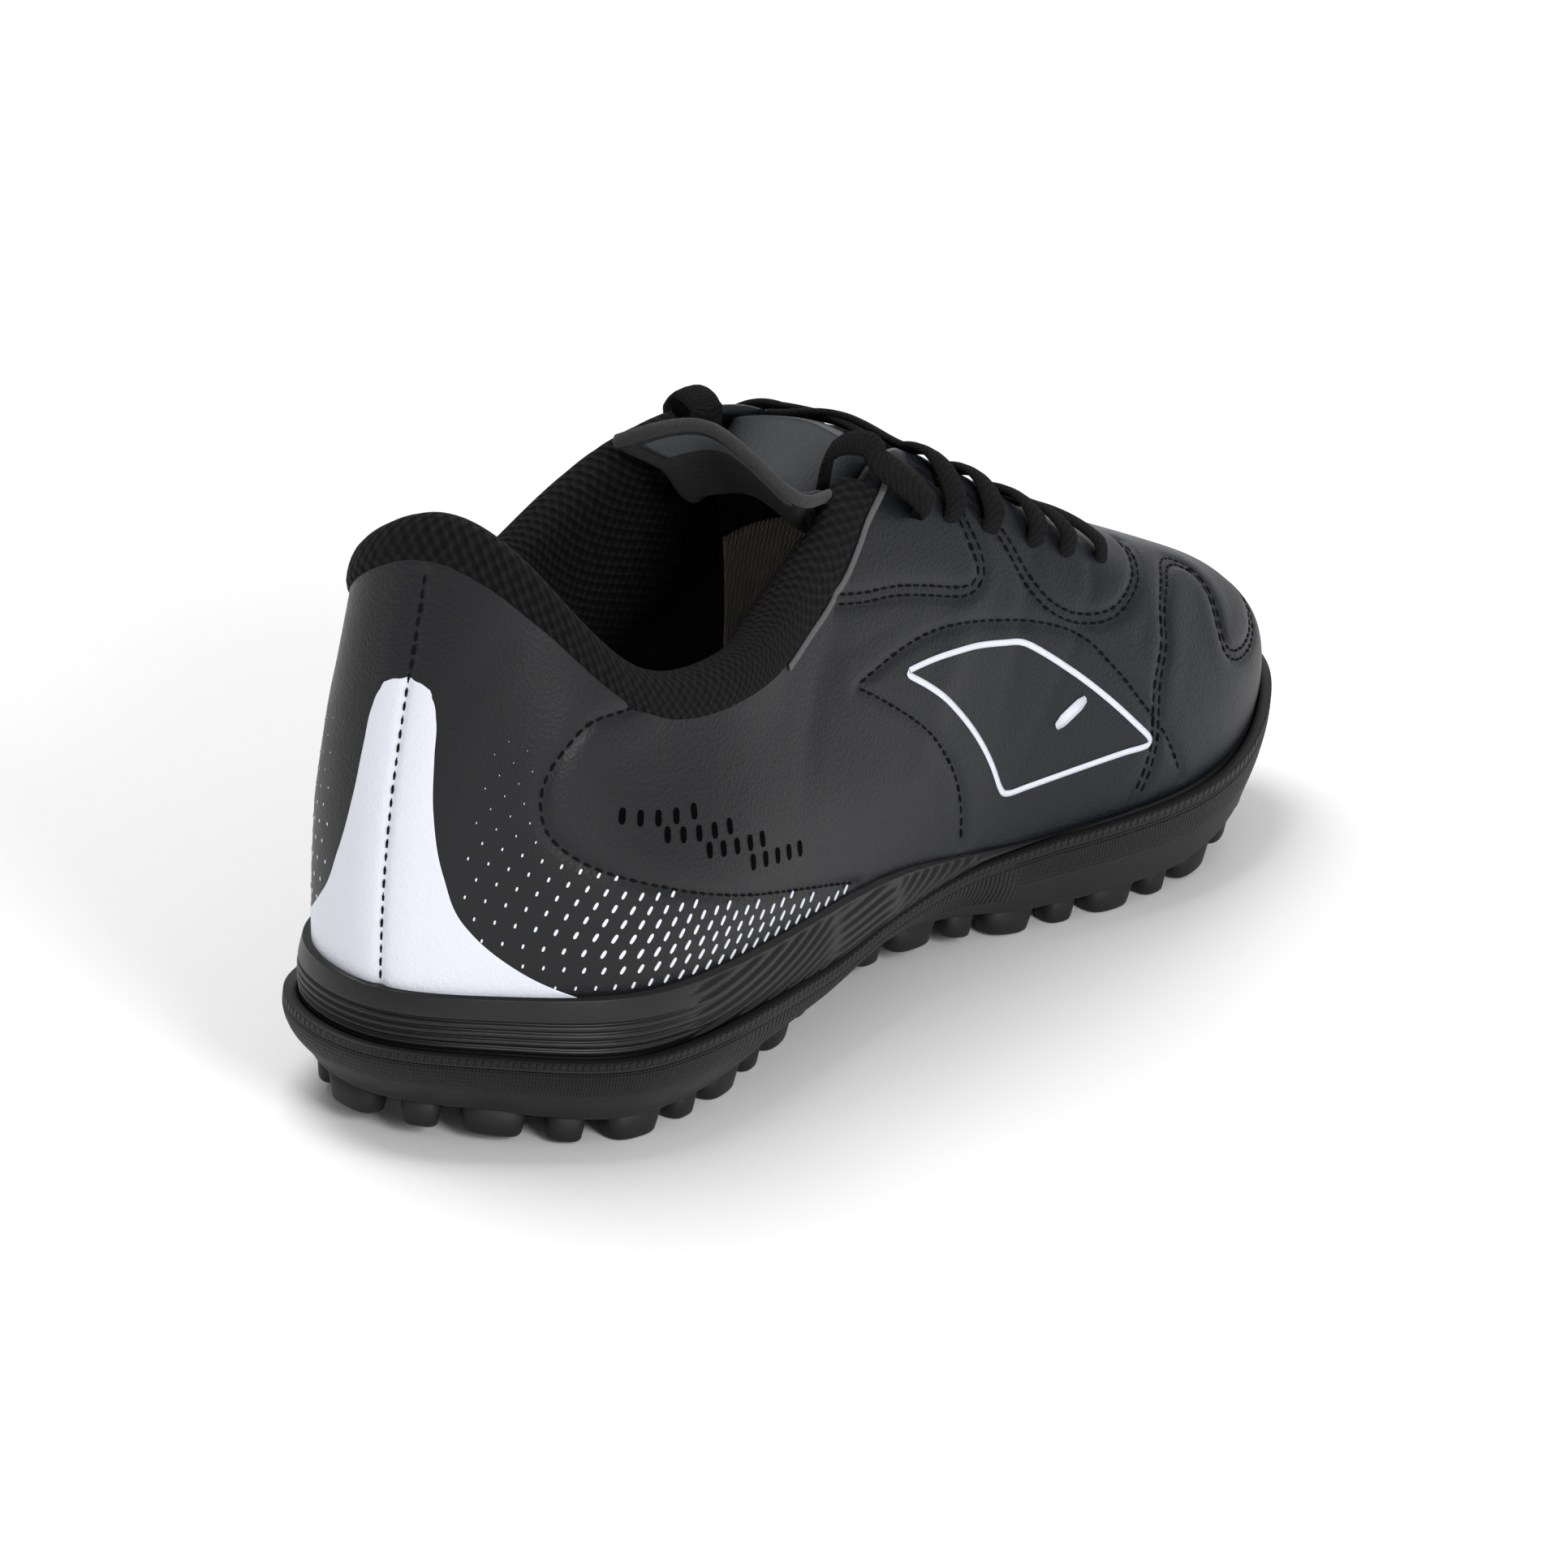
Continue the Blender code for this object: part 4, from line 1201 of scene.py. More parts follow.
# Start of an end inside its eyelet, as in LACE_END, then for each end the share of LACE_END's rise
# that it keeps and how deep it goes inside, in LACE_WIDTHs
LACE_END_START = (0.332, 0.835, -0.22, 0.02)
LACE_END_MEDIAL = (0.84, -1.5)
LACE_END_LATERAL = (0.60, -1.9)


def lace_end_centre(lateral):
    """Centre line of an end: out of the top eyelet, over the padded corner and down inside."""
    rows = np.stack([LACE_END[name] for name in ("around", "up", "out", "rise")], -1)
    inside = np.array([LACE_END_START])
    lower, depth = LACE_END_LATERAL if lateral else LACE_END_MEDIAL
    rows[:, 3] *= lower
    below = np.array([(0.326, 1.0, -1.22, 0.45 * lower), (0.325, 1.0, -1.38, depth)])
    rows = np.concatenate([inside, rows, below])
    knots = np.linspace(0, 1, len(rows))

    def centre(share):
        share = np.asarray(share, float)
        place, up, out, rise = [line_spline(knots, rows[:, k], share) for k in range(4)]
        place = 1 - place if lateral else place
        outside = np.array([0, 1.0 if lateral else -1.0, 0]) * LACE_WIDTH
        lift = np.array([0, 0, LACE_WIDTH])
        points = upper_point(place, up) + outside * out[:, None] + lift * rise[:, None]
        ahead = unit(np.gradient(points, axis=0))
        first = 1 - rows[1, 0] if lateral else rows[1, 0]
        level = upper_point(first + 0.005, 1.0) - upper_point(first - 0.005, 1.0)
        aside = unit(level - ahead * (ahead @ level)[:, None])
        return points, np.cross(aside, ahead)
    return centre


# Padded collar: how far round it goes each way, its sections, the points of each, how far down it
# lines the quarter and the share of the pad that is missing at the sides
LINING_SPAN = 21 / 64
LINING_STATIONS = 280
LINING_RING = 84
LINING_FOOT = 0.42
SIDE_THINNING = 0.32

# Height of the leather's edge round the collar
LEATHER_EDGE = table("around up", (
    (-0.345, 0.985), (-0.330, 0.955), (-0.311, 0.950), (-0.280, 0.915), (-0.250, 0.912),
    (-0.200, 0.930), (-0.120, 0.945), (-0.050, 0.960), (0.000, 0.965), (0.050, 0.960),
    (0.120, 0.945), (0.200, 0.930), (0.250, 0.912), (0.280, 0.915), (0.311, 0.950),
    (0.330, 0.955), (0.345, 0.985),
))


def lining_section(place, pad):
    """Closed loop of points across the collar: outer roll, top, padded front and hidden back."""
    edge = float(line_spline(LEATHER_EDGE["around"], LEATHER_EDGE["up"], place))
    swell = 0.5 + 0.5 * min(1.0, pad / (0.6 * PAD_THICKNESS))
    outer = [
        upper_point(place, edge - 0.012, -0.9 * MM),
        upper_point(place, edge + 0.002, 0.15 * MM),
        upper_point(place, edge + (1 - edge) * 0.35, 0.75 * MM * swell),
        upper_point(place, edge + (1 - edge) * 0.8, 0.95 * MM * swell),
        upper_point(place, 1.0, 0.8 * MM * swell, 0.35 * ROLL_HEIGHT),
        upper_point(place, 1.0, -0.05 * pad, 0.85 * ROLL_HEIGHT),
        upper_point(place, 1.0, -0.5 * pad - 0.3 * UPPER_WALL, 1.02 * ROLL_HEIGHT),
        upper_point(place, 1.0, -0.9 * pad - UPPER_WALL, 0.62 * ROLL_HEIGHT),
    ]
    down = np.linspace(0.96, LINING_FOOT, 12)
    clear = UPPER_WALL + 2 * FIT_GAP
    fill = np.interp(down, [LINING_FOOT, 0.55, 0.75, 0.9, 1.0], [0.12, 0.75, 1.0, 1.12, 1.05])
    front = upper_point(place, down, -clear - pad * fill)
    foot = upper_point(place, LINING_FOOT - 0.01, -clear)
    back = upper_point(place, np.linspace(LINING_FOOT, edge - 0.03, 5), -UPPER_WALL - 0.1 * MM)
    return np.concatenate([np.array(outer), front, foot[None], back])


def closed_loop(points, count):
    """The loop's points spread evenly along a smooth closed curve."""
    steps = np.linalg.norm(np.roll(points, -1, axis=0) - points, axis=1)
    knots = np.concatenate([[0], np.cumsum(steps)[:-1]]) / steps.sum()
    places = np.arange(count) / count
    return np.stack([ring_spline(knots, points[:, axis], places) for axis in range(3)], -1)


def lining_data():
    """Collar padding whose ends close in a point."""
    places = np.linspace(-LINING_SPAN, LINING_SPAN, LINING_STATIONS)
    pads = line_spline(COLLAR["around"], COLLAR["pad"], places) * PAD_THICKNESS
    pads *= 1 - SIDE_THINNING * smooth_step((np.abs(places) - 0.12) / 0.08)
    sections = []
    for where, pad in zip(places, pads):
        sections.append(closed_loop(lining_section(where, pad), LINING_RING))
    first = np.repeat(sections[0].mean(0)[None], LINING_RING, axis=0)
    last = np.repeat(sections[-1].mean(0)[None], LINING_RING, axis=0)
    sections = [first, first * 0.4 + sections[0] * 0.6] + sections
    sections += [last * 0.4 + sections[-1] * 0.6, last]
    return ring_profile("collar_lining", sections, spread(0.066, 0.235))


def tongue_place(across, along, layer):
    """The CAD tongue's own surface, with rounded edges and a rounded free end."""
    row = along * (THROAT_ROWS + FREE_ROWS)
    run = np.where(row < THROAT_ROWS, row / THROAT_ROWS, 1 + (row - THROAT_ROWS) / FREE_ROWS)
    columns = ("reach", "wing", "crown", "narrow", "lift")
    reach, wing, crown, narrow, lift = (
        line_spline(TONGUE["run"], TONGUE[name], run) for name in columns
    )
    around = TONGUE_FRONT + (TONGUE_CORNER - TONGUE_FRONT) * np.minimum(run, 1)
    drop = -(UPPER_WALL + 2 * FIT_GAP)
    medial_low = upper_point(around, wing, drop)
    medial = upper_point(around, 1.0, drop)
    lateral = upper_point(1 - around, 1.0, drop)
    lateral_low = upper_point(1 - around, wing, drop)
    middle = (medial + lateral) / 2
    middle[:, 2] += crown * BALL_WIDTH
    hinge = np.stack([medial_low, medial, middle, lateral, lateral_low])
    stations = np.array([0, 0.2, 0.5, 0.8, 1.0])
    slopes = np.gradient(hinge, stations, axis=0)
    first = np.clip(np.searchsorted(stations, across, side="right") - 1, 0, len(stations) - 2)
    last = first + 1
    width = (stations[last] - stations[first])[:, None]
    share = (across - stations[first])[:, None] / width
    index = np.arange(len(across))
    points = hermite(
        share, width, hinge[first, index], hinge[last, index],
        slopes[first, index], slopes[last, index],
    )
    corner = np.clip((run - 1.45) / 0.55, 0, 1)
    points[:, 0] -= reach * LAST_LENGTH
    points[:, 0] += np.abs(across * 2 - 1) ** 3 * corner ** 2 * 7 * MM
    points[:, 1] *= narrow
    points[:, 2] += lift * LAST_LENGTH
    free = np.maximum(run - 1, 0) ** 2
    points[:, 0] -= free * TONGUE_SKEW * points[:, 1]
    points[:, 2] += free * TONGUE_TILT * points[:, 1]
    edge = np.minimum(np.minimum(across, 1 - across) * 40, (1 - along) * 70)
    thin = 0.55 + 0.45 * smooth_step(edge / 1.5)
    points[:, 2] -= TONGUE_THICKNESS * (0.5 + (layer - 0.5) * thin)
    return points


def tongue_data():
    return sheet_body("tongue", 48, 96, tongue_place, spread(0.05, 0.09), thick=True)


# The label's place on the tongue, from its medial to its lateral edge and from front to free end
LABEL_ACROSS = (0.22, 0.70)
LABEL_ALONG = (0.90, 0.985)


def label_data():
    """Blank label sewn to the tongue's inner face near its free end."""
    def place(across, along, layer):
        wide = LABEL_ACROSS[0] + (LABEL_ACROSS[1] - LABEL_ACROSS[0]) * across
        run = LABEL_ALONG[0] + (LABEL_ALONG[1] - LABEL_ALONG[0]) * along
        return tongue_place(wide, run, 1.06 + 0.10 * layer)

    return sheet_body("label", 24, 12, place, spread(0.02, 0.012), thick=True)


def tongue_front_data():
    """Smooth outer face of the tongue."""
    def place(across, along, layer):
        return tongue_place(0.02 + 0.96 * across, 0.20 + 0.79 * along, -0.14 + 0.10 * layer)

    return sheet_body("tongue_front", 40, 64, place, spread(0.05, 0.09), thick=True)


RIM_RADIUS = 0.95 * MM
RIM_RING = 12


def tongue_rim_data(count=150):
    """Cut felt edge round the tongue's free end."""
    side = np.linspace(0, 1, count)
    across = np.interp(side, [0, 0.28, 0.72, 1], [0, 0, 1, 1])
    along = np.interp(side, [0, 0.28, 0.72, 1], [0.76, 1, 1, 0.76])
    points = tongue_place(across, along, np.full(count, 0.5))
    middle = tongue_place(np.array([0.5]), np.array([0.86]), np.array([0.5]))
    ahead = unit(np.gradient(points, axis=0))
    upward = np.array([0, 0, 1.0])
    outward = unit(np.cross(ahead, upward))
    outward *= np.sign(((points - middle) * outward).sum(-1, keepdims=True))
    upward = unit(np.cross(outward, ahead))
    turn = np.arange(RIM_RING) / RIM_RING * 2 * math.pi
    wide, high = np.cos(turn) * RIM_RADIUS * 0.7, np.sin(turn) * RIM_RADIUS * 1.25
    sections = tube_sections(points, outward, upward, wide, high)
    return ring_profile("tongue_rim", sections, spread(0.005, 0.12))


# Pale cloth that lines the forefoot's inner walls: its span round the shoe and up
VAMP_AROUND = (0.335, 0.44)
VAMP_UP = (0.02, 0.46)


def vamp_lining_data(side):
    def place(across, along, layer):
        around = VAMP_AROUND[0] + (VAMP_AROUND[1] - VAMP_AROUND[0]) * across
        up = VAMP_UP[0] + (VAMP_UP[1] - VAMP_UP[0]) * along
        inward = -UPPER_WALL - (0.1 + 0.25 * layer) * MM
        return upper_point(sided(around, side), up, inward)

    return sheet_body("vamp_lining", 60, 30, place, spread(0.06, 0.04), thick=True)


# Sole: columns round it, the length of a lap for its patterns, rings up the cup's wall and the
# midsole's band, and the height of the cup's rounded lip
SOLE_COLUMNS = 760
SOLE_LAP = 0.60
WALL_ROWS = 26
BAND_ROWS = 58
LIP_HEIGHT = 0.35 * MM


def level_ring(around, reach, height):
    points = outline(around, reach)
    points[:, 2] = height
    return points


def cup_sizes(around):
    """Reach at the belly and the bottom, and the heights of the bottom and the rim."""
    bulge = sole_side("bulge", around) * WALL_FLARE
    low = sole_side("low", around) * WALL_FLARE
    bottom = underside(outline(around, low)[:, 0])
    rim = sole_ring(around, bulge, sole_side("rim", around))[:, 2]
    rim = np.minimum(rim, feather(around)[:, 2] - 3 * FIT_GAP)
    return bulge, low, bottom, rim


def outsole_data():
    """Rubber cup: rounded foot, wall, lip and the inside down to the tread."""
    around = np.arange(SOLE_COLUMNS) / SOLE_COLUMNS
    bulge, low, bottom, rim = cup_sizes(around)
    rings = []
    for turn in (0, 30, 60):
        lean = FOXING_DEPTH * (1 - math.sin(math.radians(turn)))
        rise = FOXING_DEPTH * (1 - math.cos(math.radians(turn)))
        rings.append(level_ring(around, low - lean, bottom + rise))
    start = bottom + FOXING_DEPTH
    knots, fills = np.array([0, 0.45, 0.78, 1.0]), np.array([0, 0.75, 1.0, 1.0])
    for share in np.linspace(0, 1, WALL_ROWS + 1):
        fill = float(line_spline(knots, fills, share))
        rings.append(level_ring(around, low + (bulge - low) * fill, start + (rim - start) * share))
    for turn in (30, 60, 90, 120, 150, 180):
        lean = RIM_THICKNESS / 2 * (1 - math.cos(math.radians(turn)))
        rise = LIP_HEIGHT * math.sin(math.radians(turn))
        rings.append(level_ring(around, bulge - lean, rim + rise))
    waist = low + (bulge - low) * 0.5 - RIM_THICKNESS
    rings.append(level_ring(around, waist, bottom + (rim - bottom) * 0.45))
    rings.append(level_ring(around, low - RIM_THICKNESS, bottom + TREAD_THICKNESS))
    rings = [fold(rings[0])] + rings + [fold(rings[-1])]
    return ring_profile("outsole", rings, spread(SOLE_LAP, (len(rings) - 1) * MM))


# Ribs moulded in the midsole's sides, from heel to waist. start and end are shares of a lap, pitch
# is between ribs, climb how much a rib rises over its length and curve how it bends, all in mm.
RIB_FANS = table("start end pitch climb curve", (
    (0.128, 0.212, 2.1, 0.05, 0.0042),
    (0.205, 0.250, 1.9, 0.02, 0.0000),
    (0.243, 0.300, 2.2, 0.42, 0.0000),
))
FAN_FADE = 0.012

# Grooves round the heel: how many, and the share of the band that they reach
GROOVE_NUMBER = 4.5
GROOVE_TOP = 0.66
RIB_DEPTH = 0.55 * MM


def carved(phase):
    """Narrow grooves between broad rounded ribs, 0 on a rib and 1 in a groove."""
    return (0.5 + 0.5 * np.cos(2 * math.pi * phase)) ** 3


def midsole_relief(around, share, band):
    """How deep the midsole's side is carved at a share of its band."""
    side = np.minimum(around, 1 - around)
    heel = 1 - smooth_step((side - 0.10) / 0.05)
    result = heel * (share < GROOVE_TOP) * carved(share / GROOVE_TOP * GROOVE_NUMBER)
    height = share * band / MM
    for index in range(len(RIB_FANS["start"])):
        fan = {name: RIB_FANS[name][index] for name in RIB_FANS}
        walked = (side - fan["start"]) * SOLE_LAP / MM
        inside = smooth_step((side - fan["start"]) / FAN_FADE)
        inside = inside * smooth_step((fan["end"] - side) / FAN_FADE)
        line = height - fan["climb"] * walked - fan["curve"] * walked ** 2
        result = np.maximum(result, inside * carved(line / fan["pitch"]))
    ends = smooth_step(share / 0.06) * smooth_step((1 - share) / 0.10)
    return result * ends * RIB_DEPTH * smooth_step(band / (3 * MM))


def midsole_data():
    """Midsole inside the cup, with its ribbed band above the rim."""
    around = np.arange(SOLE_COLUMNS) / SOLE_COLUMNS
    bulge, low, bottom, rim = cup_sizes(around)
    inset = RIM_THICKNESS + FIT_GAP
    ledge = sole_side("ledge", around) * MIDSOLE_LEDGE
    top = feather(around)[:, 2] - FIT_GAP
    shelf = rim + FIT_GAP
    band = np.maximum(top - shelf, 0)
    rings = [
        level_ring(around, low - inset, bottom + TREAD_THICKNESS + FIT_GAP),
        level_ring(around, bulge - inset, rim),
    ]
    for share in np.linspace(0, 1, BAND_ROWS + 1):
        swell = 0.4 * MIDSOLE_LEDGE * math.sin(math.pi * share)
        reach = ledge + swell - midsole_relief(around, share, band)
        rings.append(level_ring(around, reach, shelf + band * share))
    rings = [fold(rings[0])] + rings + [fold(rings[-1])]
    return ring_profile("midsole", rings, spread(SOLE_LAP, 0.02))


def lug_places():
    """Middle, size and turn of every lug: a row round the edge and rows across the middle."""
    fine = np.linspace(0, 1, 721)
    edge = outline(fine, sole_side("low", fine) * WALL_FLARE - STUD_INSET)
    walked = walk(edge[:, :2])
    count = 2 * round(walked[-1] / STUD_PITCH / 2)
    lugs = []
    for index in range(count):
        place = (index + 0.5) / count * walked[-1]
        x, y = (np.interp(place, walked, edge[:, axis]) for axis in range(2))
        place = (place + MM) % walked[-1]
        ahead, aside = (np.interp(place, walked, edge[:, axis]) for axis in range(2))
        size = LARGE_STUD if index % 2 else SMALL_STUD
        lugs.append((x, y, size, math.atan2(aside - y, ahead - x)))
    rows = int((edge[:, 0].max() - edge[:, 0].min()) / ROW_PITCH)
    half = len(fine) // 2
    for row in range(1, rows):
        x = edge[:, 0].min() + (row + 0.3) * ROW_PITCH
        near = np.interp(x, edge[:half, 0], edge[:half, 1])
        far = np.interp(x, edge[::-1][:half, 0], edge[::-1][:half, 1])
        room = far - near - 2 * ROW_PITCH * 0.85
        number = int(room / ROW_PITCH) + 1 if room >= 0 else 0
        for step in range(number):
            y = (near + far) / 2 + (step - (number - 1) / 2) * ROW_PITCH
            lugs.append((x, y, LARGE_STUD if (row + step) % 2 else SMALL_STUD, 0.0))
    return lugs


# Shape of a lug: corners round it, how square it is and the bevel of its foot
LUG_SEGMENTS = 24
LUG_SQUARE = 2.8
LUG_BEVEL = 0.8 * MM


def lug_shape(length, width):
    """One lug standing on the origin: a tapered oblong with rounded corners and foot."""
    mesh = bmesh.new()
    bmesh.ops.create_cone(
        mesh, cap_ends=True, segments=LUG_SEGMENTS, radius1=0.42, radius2=0.54, depth=1,
    )
    for vertex in mesh.verts:
        a, b = squared(vertex.co, LUG_SQUARE)
        height = (STUD_HEIGHT + TREAD_THICKNESS / 2) if vertex.co.z > 0 else 0.0
        vertex.co = (a * length, b * width, height)
    foot = [edge for edge in mesh.edges if max(v.co.z for v in edge.verts) < WELD]
    bmesh.ops.bevel(
        mesh, geom=foot, offset=LUG_BEVEL, segments=3, profile=0.5, affect="EDGES",
    )
    return finished(mesh, "lug")


def add_lugs(data):
    """Joins the lugs to the cup's mesh."""
    shapes = {size: lug_shape(*size) for size in (LARGE_STUD, SMALL_STUD)}
    mesh = bmesh.new()
    mesh.from_mesh(data)
    for x, y, size, turn in lug_places():
        known = len(mesh.verts)
        mesh.from_mesh(shapes[size])
        mesh.verts.ensure_lookup_table()
        for vertex in mesh.verts[known:]:
            a, b, height = vertex.co
            px = x + a * math.cos(turn) - b * math.sin(turn)
            py = y + a * math.sin(turn) + b * math.cos(turn)
            drop = underside(px) - STUD_HEIGHT
            vertex.co = world(np.array([px, py, float(drop) + height]))
    mesh.to_mesh(data)
    mesh.free()
    return data


# Camera of the photograph: angles in degrees and lengths in metres
CAMERA_TARGET = Vector((-0.00875, -0.00514, 0.03211))
CAMERA_AZIMUTH = -57.149
CAMERA_ELEVATION = 22.095
CAMERA_ROLL = 5.324
CAMERA_DISTANCE = 1.42396
SENSOR_WIDTH = 36
PHOTO_WIDTH_PIXELS = 1932
FOCAL_LENGTH_PIXELS = 10369.84


def aim_camera(camera):
    azimuth, elevation = math.radians(CAMERA_AZIMUTH), math.radians(CAMERA_ELEVATION)
    roll = math.radians(CAMERA_ROLL)
    back = Vector((
        math.sin(azimuth) * math.cos(elevation),
        -math.cos(azimuth) * math.cos(elevation),
        math.sin(elevation),
    ))
    right = Vector((math.cos(azimuth), math.sin(azimuth), 0))
    upward = back.cross(right)
    turned = right * math.cos(roll) + upward * math.sin(roll)
    raised_up = upward * math.cos(roll) - right * math.sin(roll)
    camera.matrix_world = Matrix.Translation(CAMERA_TARGET + back * CAMERA_DISTANCE) @ Matrix(
        (turned, raised_up, back)
    ).transposed().to_4x4()


# Studio: the soft lamps, with power as shares of the light's power, the light all round, and the
# floor
LAMPS = table("x y z size power", (
    (-0.45, -1.10, 0.60, 0.60, 1.10),
    (1.10, 0.45, 0.55, 0.50, 0.20),
    (-0.10, 0.50, 1.35, 0.90, 1.30),
))
WORLD_LIGHT = 0.46
FLOOR_SIZE = 6
FLOOR_COLOUR = (0.93, 0.93, 0.93, 1)

# Darkest and lightest colour of each material, or its one colour
COLOURS = {
    "lace_cotton": ((0.002, 0.002, 0.002), (0.013, 0.0125, 0.012)),
    "black_thread": ((0.006, 0.006, 0.006),),
    "raw_edge": ((0.05, 0.05, 0.05), (0.16, 0.16, 0.16)),
    # Slots: painted shade of their hollows
    "slot_hollow_shade": ((0.0006, 0.0006, 0.0006),),
    "collar_knit": ((0.001, 0.001, 0.0012), (0.011, 0.011, 0.0115)),
    "tongue_felt": ((0.008, 0.008, 0.008), (0.026, 0.026, 0.026)),
    "cut_felt": ((0.014, 0.014, 0.014), (0.075, 0.075, 0.075)),
    "tongue_front": ((0.004, 0.005, 0.008), (0.009, 0.011, 0.016)),
    "blank_label": ((0.07, 0.075, 0.085), (0.10, 0.105, 0.115)),
    "insole_cloth": ((0.72, 0.68, 0.63), (0.90, 0.86, 0.80)),
    "outsole_rubber": ((0.004, 0.004, 0.005),),
    "midsole_foam": ((0.003, 0.003, 0.0035),),
}


# Sizes and colours that a user would change

class ShoeSettings(bpy.types.PropertyGroup):
    light_power: bpy.props.FloatProperty(
        name="Light power", description="Power of the main soft light", default=9.0, min=0.0,
    )
    leather_dark: bpy.props.FloatVectorProperty(
        name="Heel leather", description="Colour of the leather at the heel",
        subtype="COLOR", size=3, default=(0.008, 0.008, 0.0085), min=0.0, max=1.0,
    )
    # Toe colour: darker and bluer than the heel's black, painted shade and blue-grey sheen
    toe_leather_painted_sheen: bpy.props.FloatVectorProperty(
        name="Toe leather", description="Colour of the leather at the toe",
        subtype="COLOR", size=3, default=(0.0035, 0.0050, 0.0090), min=0.0, max=1.0,
    )
    ink: bpy.props.FloatVectorProperty(
        name="Print", description="Colour of the printed panel, dashes and outline",
        subtype="COLOR", size=3, default=(0.78, 0.80, 0.88), min=0.0, max=1.0,
    )


def settings():
    return bpy.context.scene.shoe_settings


class SHOE_OT_stage(bpy.types.Operator):
    """Camera of the photograph, pale floor and soft studio light"""

    bl_idname = "shoe.stage"
    bl_label = "Stage"

    def execute(self, context):
        scene = context.scene
        camera = bpy.data.objects.new("camera", bpy.data.cameras.new("camera"))
        scene.collection.objects.link(camera)
        camera.data.sensor_width = SENSOR_WIDTH
        camera.data.lens = SENSOR_WIDTH * FOCAL_LENGTH_PIXELS / PHOTO_WIDTH_PIXELS
        camera.data.clip_start, camera.data.clip_end = 0.05, 20
        aim_camera(camera)
        scene.camera = camera
        scene.view_settings.view_transform = "Standard"
        mesh = bmesh.new()
        bmesh.ops.create_grid(mesh, x_segments=1, y_segments=1, size=FLOOR_SIZE)
        data = finished(mesh, "floor")
        floor = bpy.data.objects.new("floor", data)
        scene.collection.objects.link(floor)
        paint = Finish("floor_paint", 0.9)
        paint.colour(FLOOR_COLOUR)
        data.materials.append(paint.material)
        world_light = bpy.data.worlds.new("studio")
        world_light.use_nodes = True
        shade = world_light.node_tree.nodes["Background"]
        shade.inputs["Color"].default_value = (1, 1, 1, 1)
        shade.inputs["Strength"].default_value = WORLD_LIGHT
        scene.world = world_light
        for index in range(len(LAMPS["x"])):
            lamp = bpy.data.lights.new(f"softbox_{index + 1}", "AREA")
            lamp.shape = "DISK"
            lamp.size = LAMPS["size"][index]
            lamp.energy = settings().light_power * LAMPS["power"][index]
            holder = bpy.data.objects.new(lamp.name, lamp)
            scene.collection.objects.link(holder)
            spot = Vector([LAMPS[axis][index] for axis in "xyz"])
            holder.location = spot
            holder.rotation_mode = "QUATERNION"
            holder.rotation_quaternion = (CAMERA_TARGET - spot).to_track_quat("-Z", "Y")
        return {"FINISHED"}


class SHOE_OT_lace(bpy.types.Operator):
    """Flat lace: five crossings and the ends that turn over the collar's corners"""

    bl_idname = "shoe.lace"
    bl_label = "Lace"

    def execute(self, context):
        cotton = weave_finish("lace_cotton", *COLOURS["lace_cotton"])
        for row in range(1, len(LACING["around"])):
            bars = [
                lace_data(f"bar_{row}", lace_centre(row, row - 1, lateral, lift), 0.05)
                for lateral, lift in ((False, CROSSING_LIFT), (True, 0.0))
            ]
            mesh = bmesh.new()
            for bar in bars:
                mesh.from_mesh(bar)
            data = finished(mesh, f"lace_{row}")
            stand(f"lace_{row}", data, [cotton], [f"lace_crossing_{row}"])
        for side, name in SIDES:
            centre = lace_end_centre(side < 0)
            line = world(centre(np.linspace(0, 1, 120))[0])
            length = float(walk(line)[-1])
            data = lace_data(f"lace_end_{name}", centre, length)
            piece = stand(f"lace_tail_{name}", data, [cotton], [f"lace_end_{name}"])
        return {"FINISHED"}


class SHOE_OT_upper(bpy.types.Operator):
    """Leather shell with its pressed seams, creases and stitches"""

    bl_idname = "shoe.upper"
    bl_label = "Upper"

    def execute(self, context):
        # The toe's colour is painted shade and blue-grey sheen
        heel_and_painted_toe = settings().leather_dark, settings().toe_leather_painted_sheen
        leather = leather_finish("upper_synthetic", *heel_and_painted_toe)
        nodes = ["upper", "toe_overlay", "heel_strip"]
        for _, name in SIDES:
            nodes += [f"eyestay_{name}", f"lower_eyestay_{name}", f"side_panel_{name}"]
        stand("leather_shell", shell_data(), [leather], nodes)
        black = thread_finish("black_thread", *COLOURS["black_thread"])
        stand("stitches", stitches_data(SEAM_ROWS), [black])
        raw = felt_finish("raw_edge", *COLOURS["raw_edge"])
        for side, name in SIDES:
            edge = ribbon_data(f"raw_edge_{name}", RAW_EDGE, RAW_WIDTH, side, False, RAW_DEPTH)
            stand(f"raw_edge_{name}", edge, [raw])
        return {"FINISHED"}


class SHOE_OT_prints(bpy.types.Operator):
    """White heel panel, fading dashes, pressed slots painted black as the shade of their hollows,
    and plain side marks
    """

    bl_idname = "shoe.prints"
    bl_label = "Prints"

    def execute(self, context):
        ink = ink_finish("print_white", settings().ink)
        # Matt black for the slots: painted shade of their hollows
        black = Finish("slot_hollow_shade", 1.0, Specular_IOR_Level=0.05)
        black.colour((*COLOURS["slot_hollow_shade"][0], 1))
        stand("heel_panel", white_panel_data(), [ink])
        dashes = dash_field(1) + dash_field(-1)
        data = marks_data("dashes", dashes, 0.05 * MM)
        stand("dashes", data, [ink], smooth=False)
        corners = outline_route(OUTLINE_CORNERS)
        for side, name in SIDES:
            ribbon = ribbon_data(f"outline_{name}", corners, OUTLINE_WIDTH, side)
            stand(f"outline_{name}", ribbon, [ink])
            around, up, length, width = BAR_MARK
            bar = [(sided(around, side), up, length, width, side * BAR_SLANT)]
            stand(f"bar_{name}", marks_data("bar", bar, 0.1 * MM), [ink])
        slots = slot_marks(1) + slot_marks(-1)
        data = marks_data("slots", slots, 0.04 * MM)
        stand("slots", data, [black.material], smooth=False)
        return {"FINISHED"}


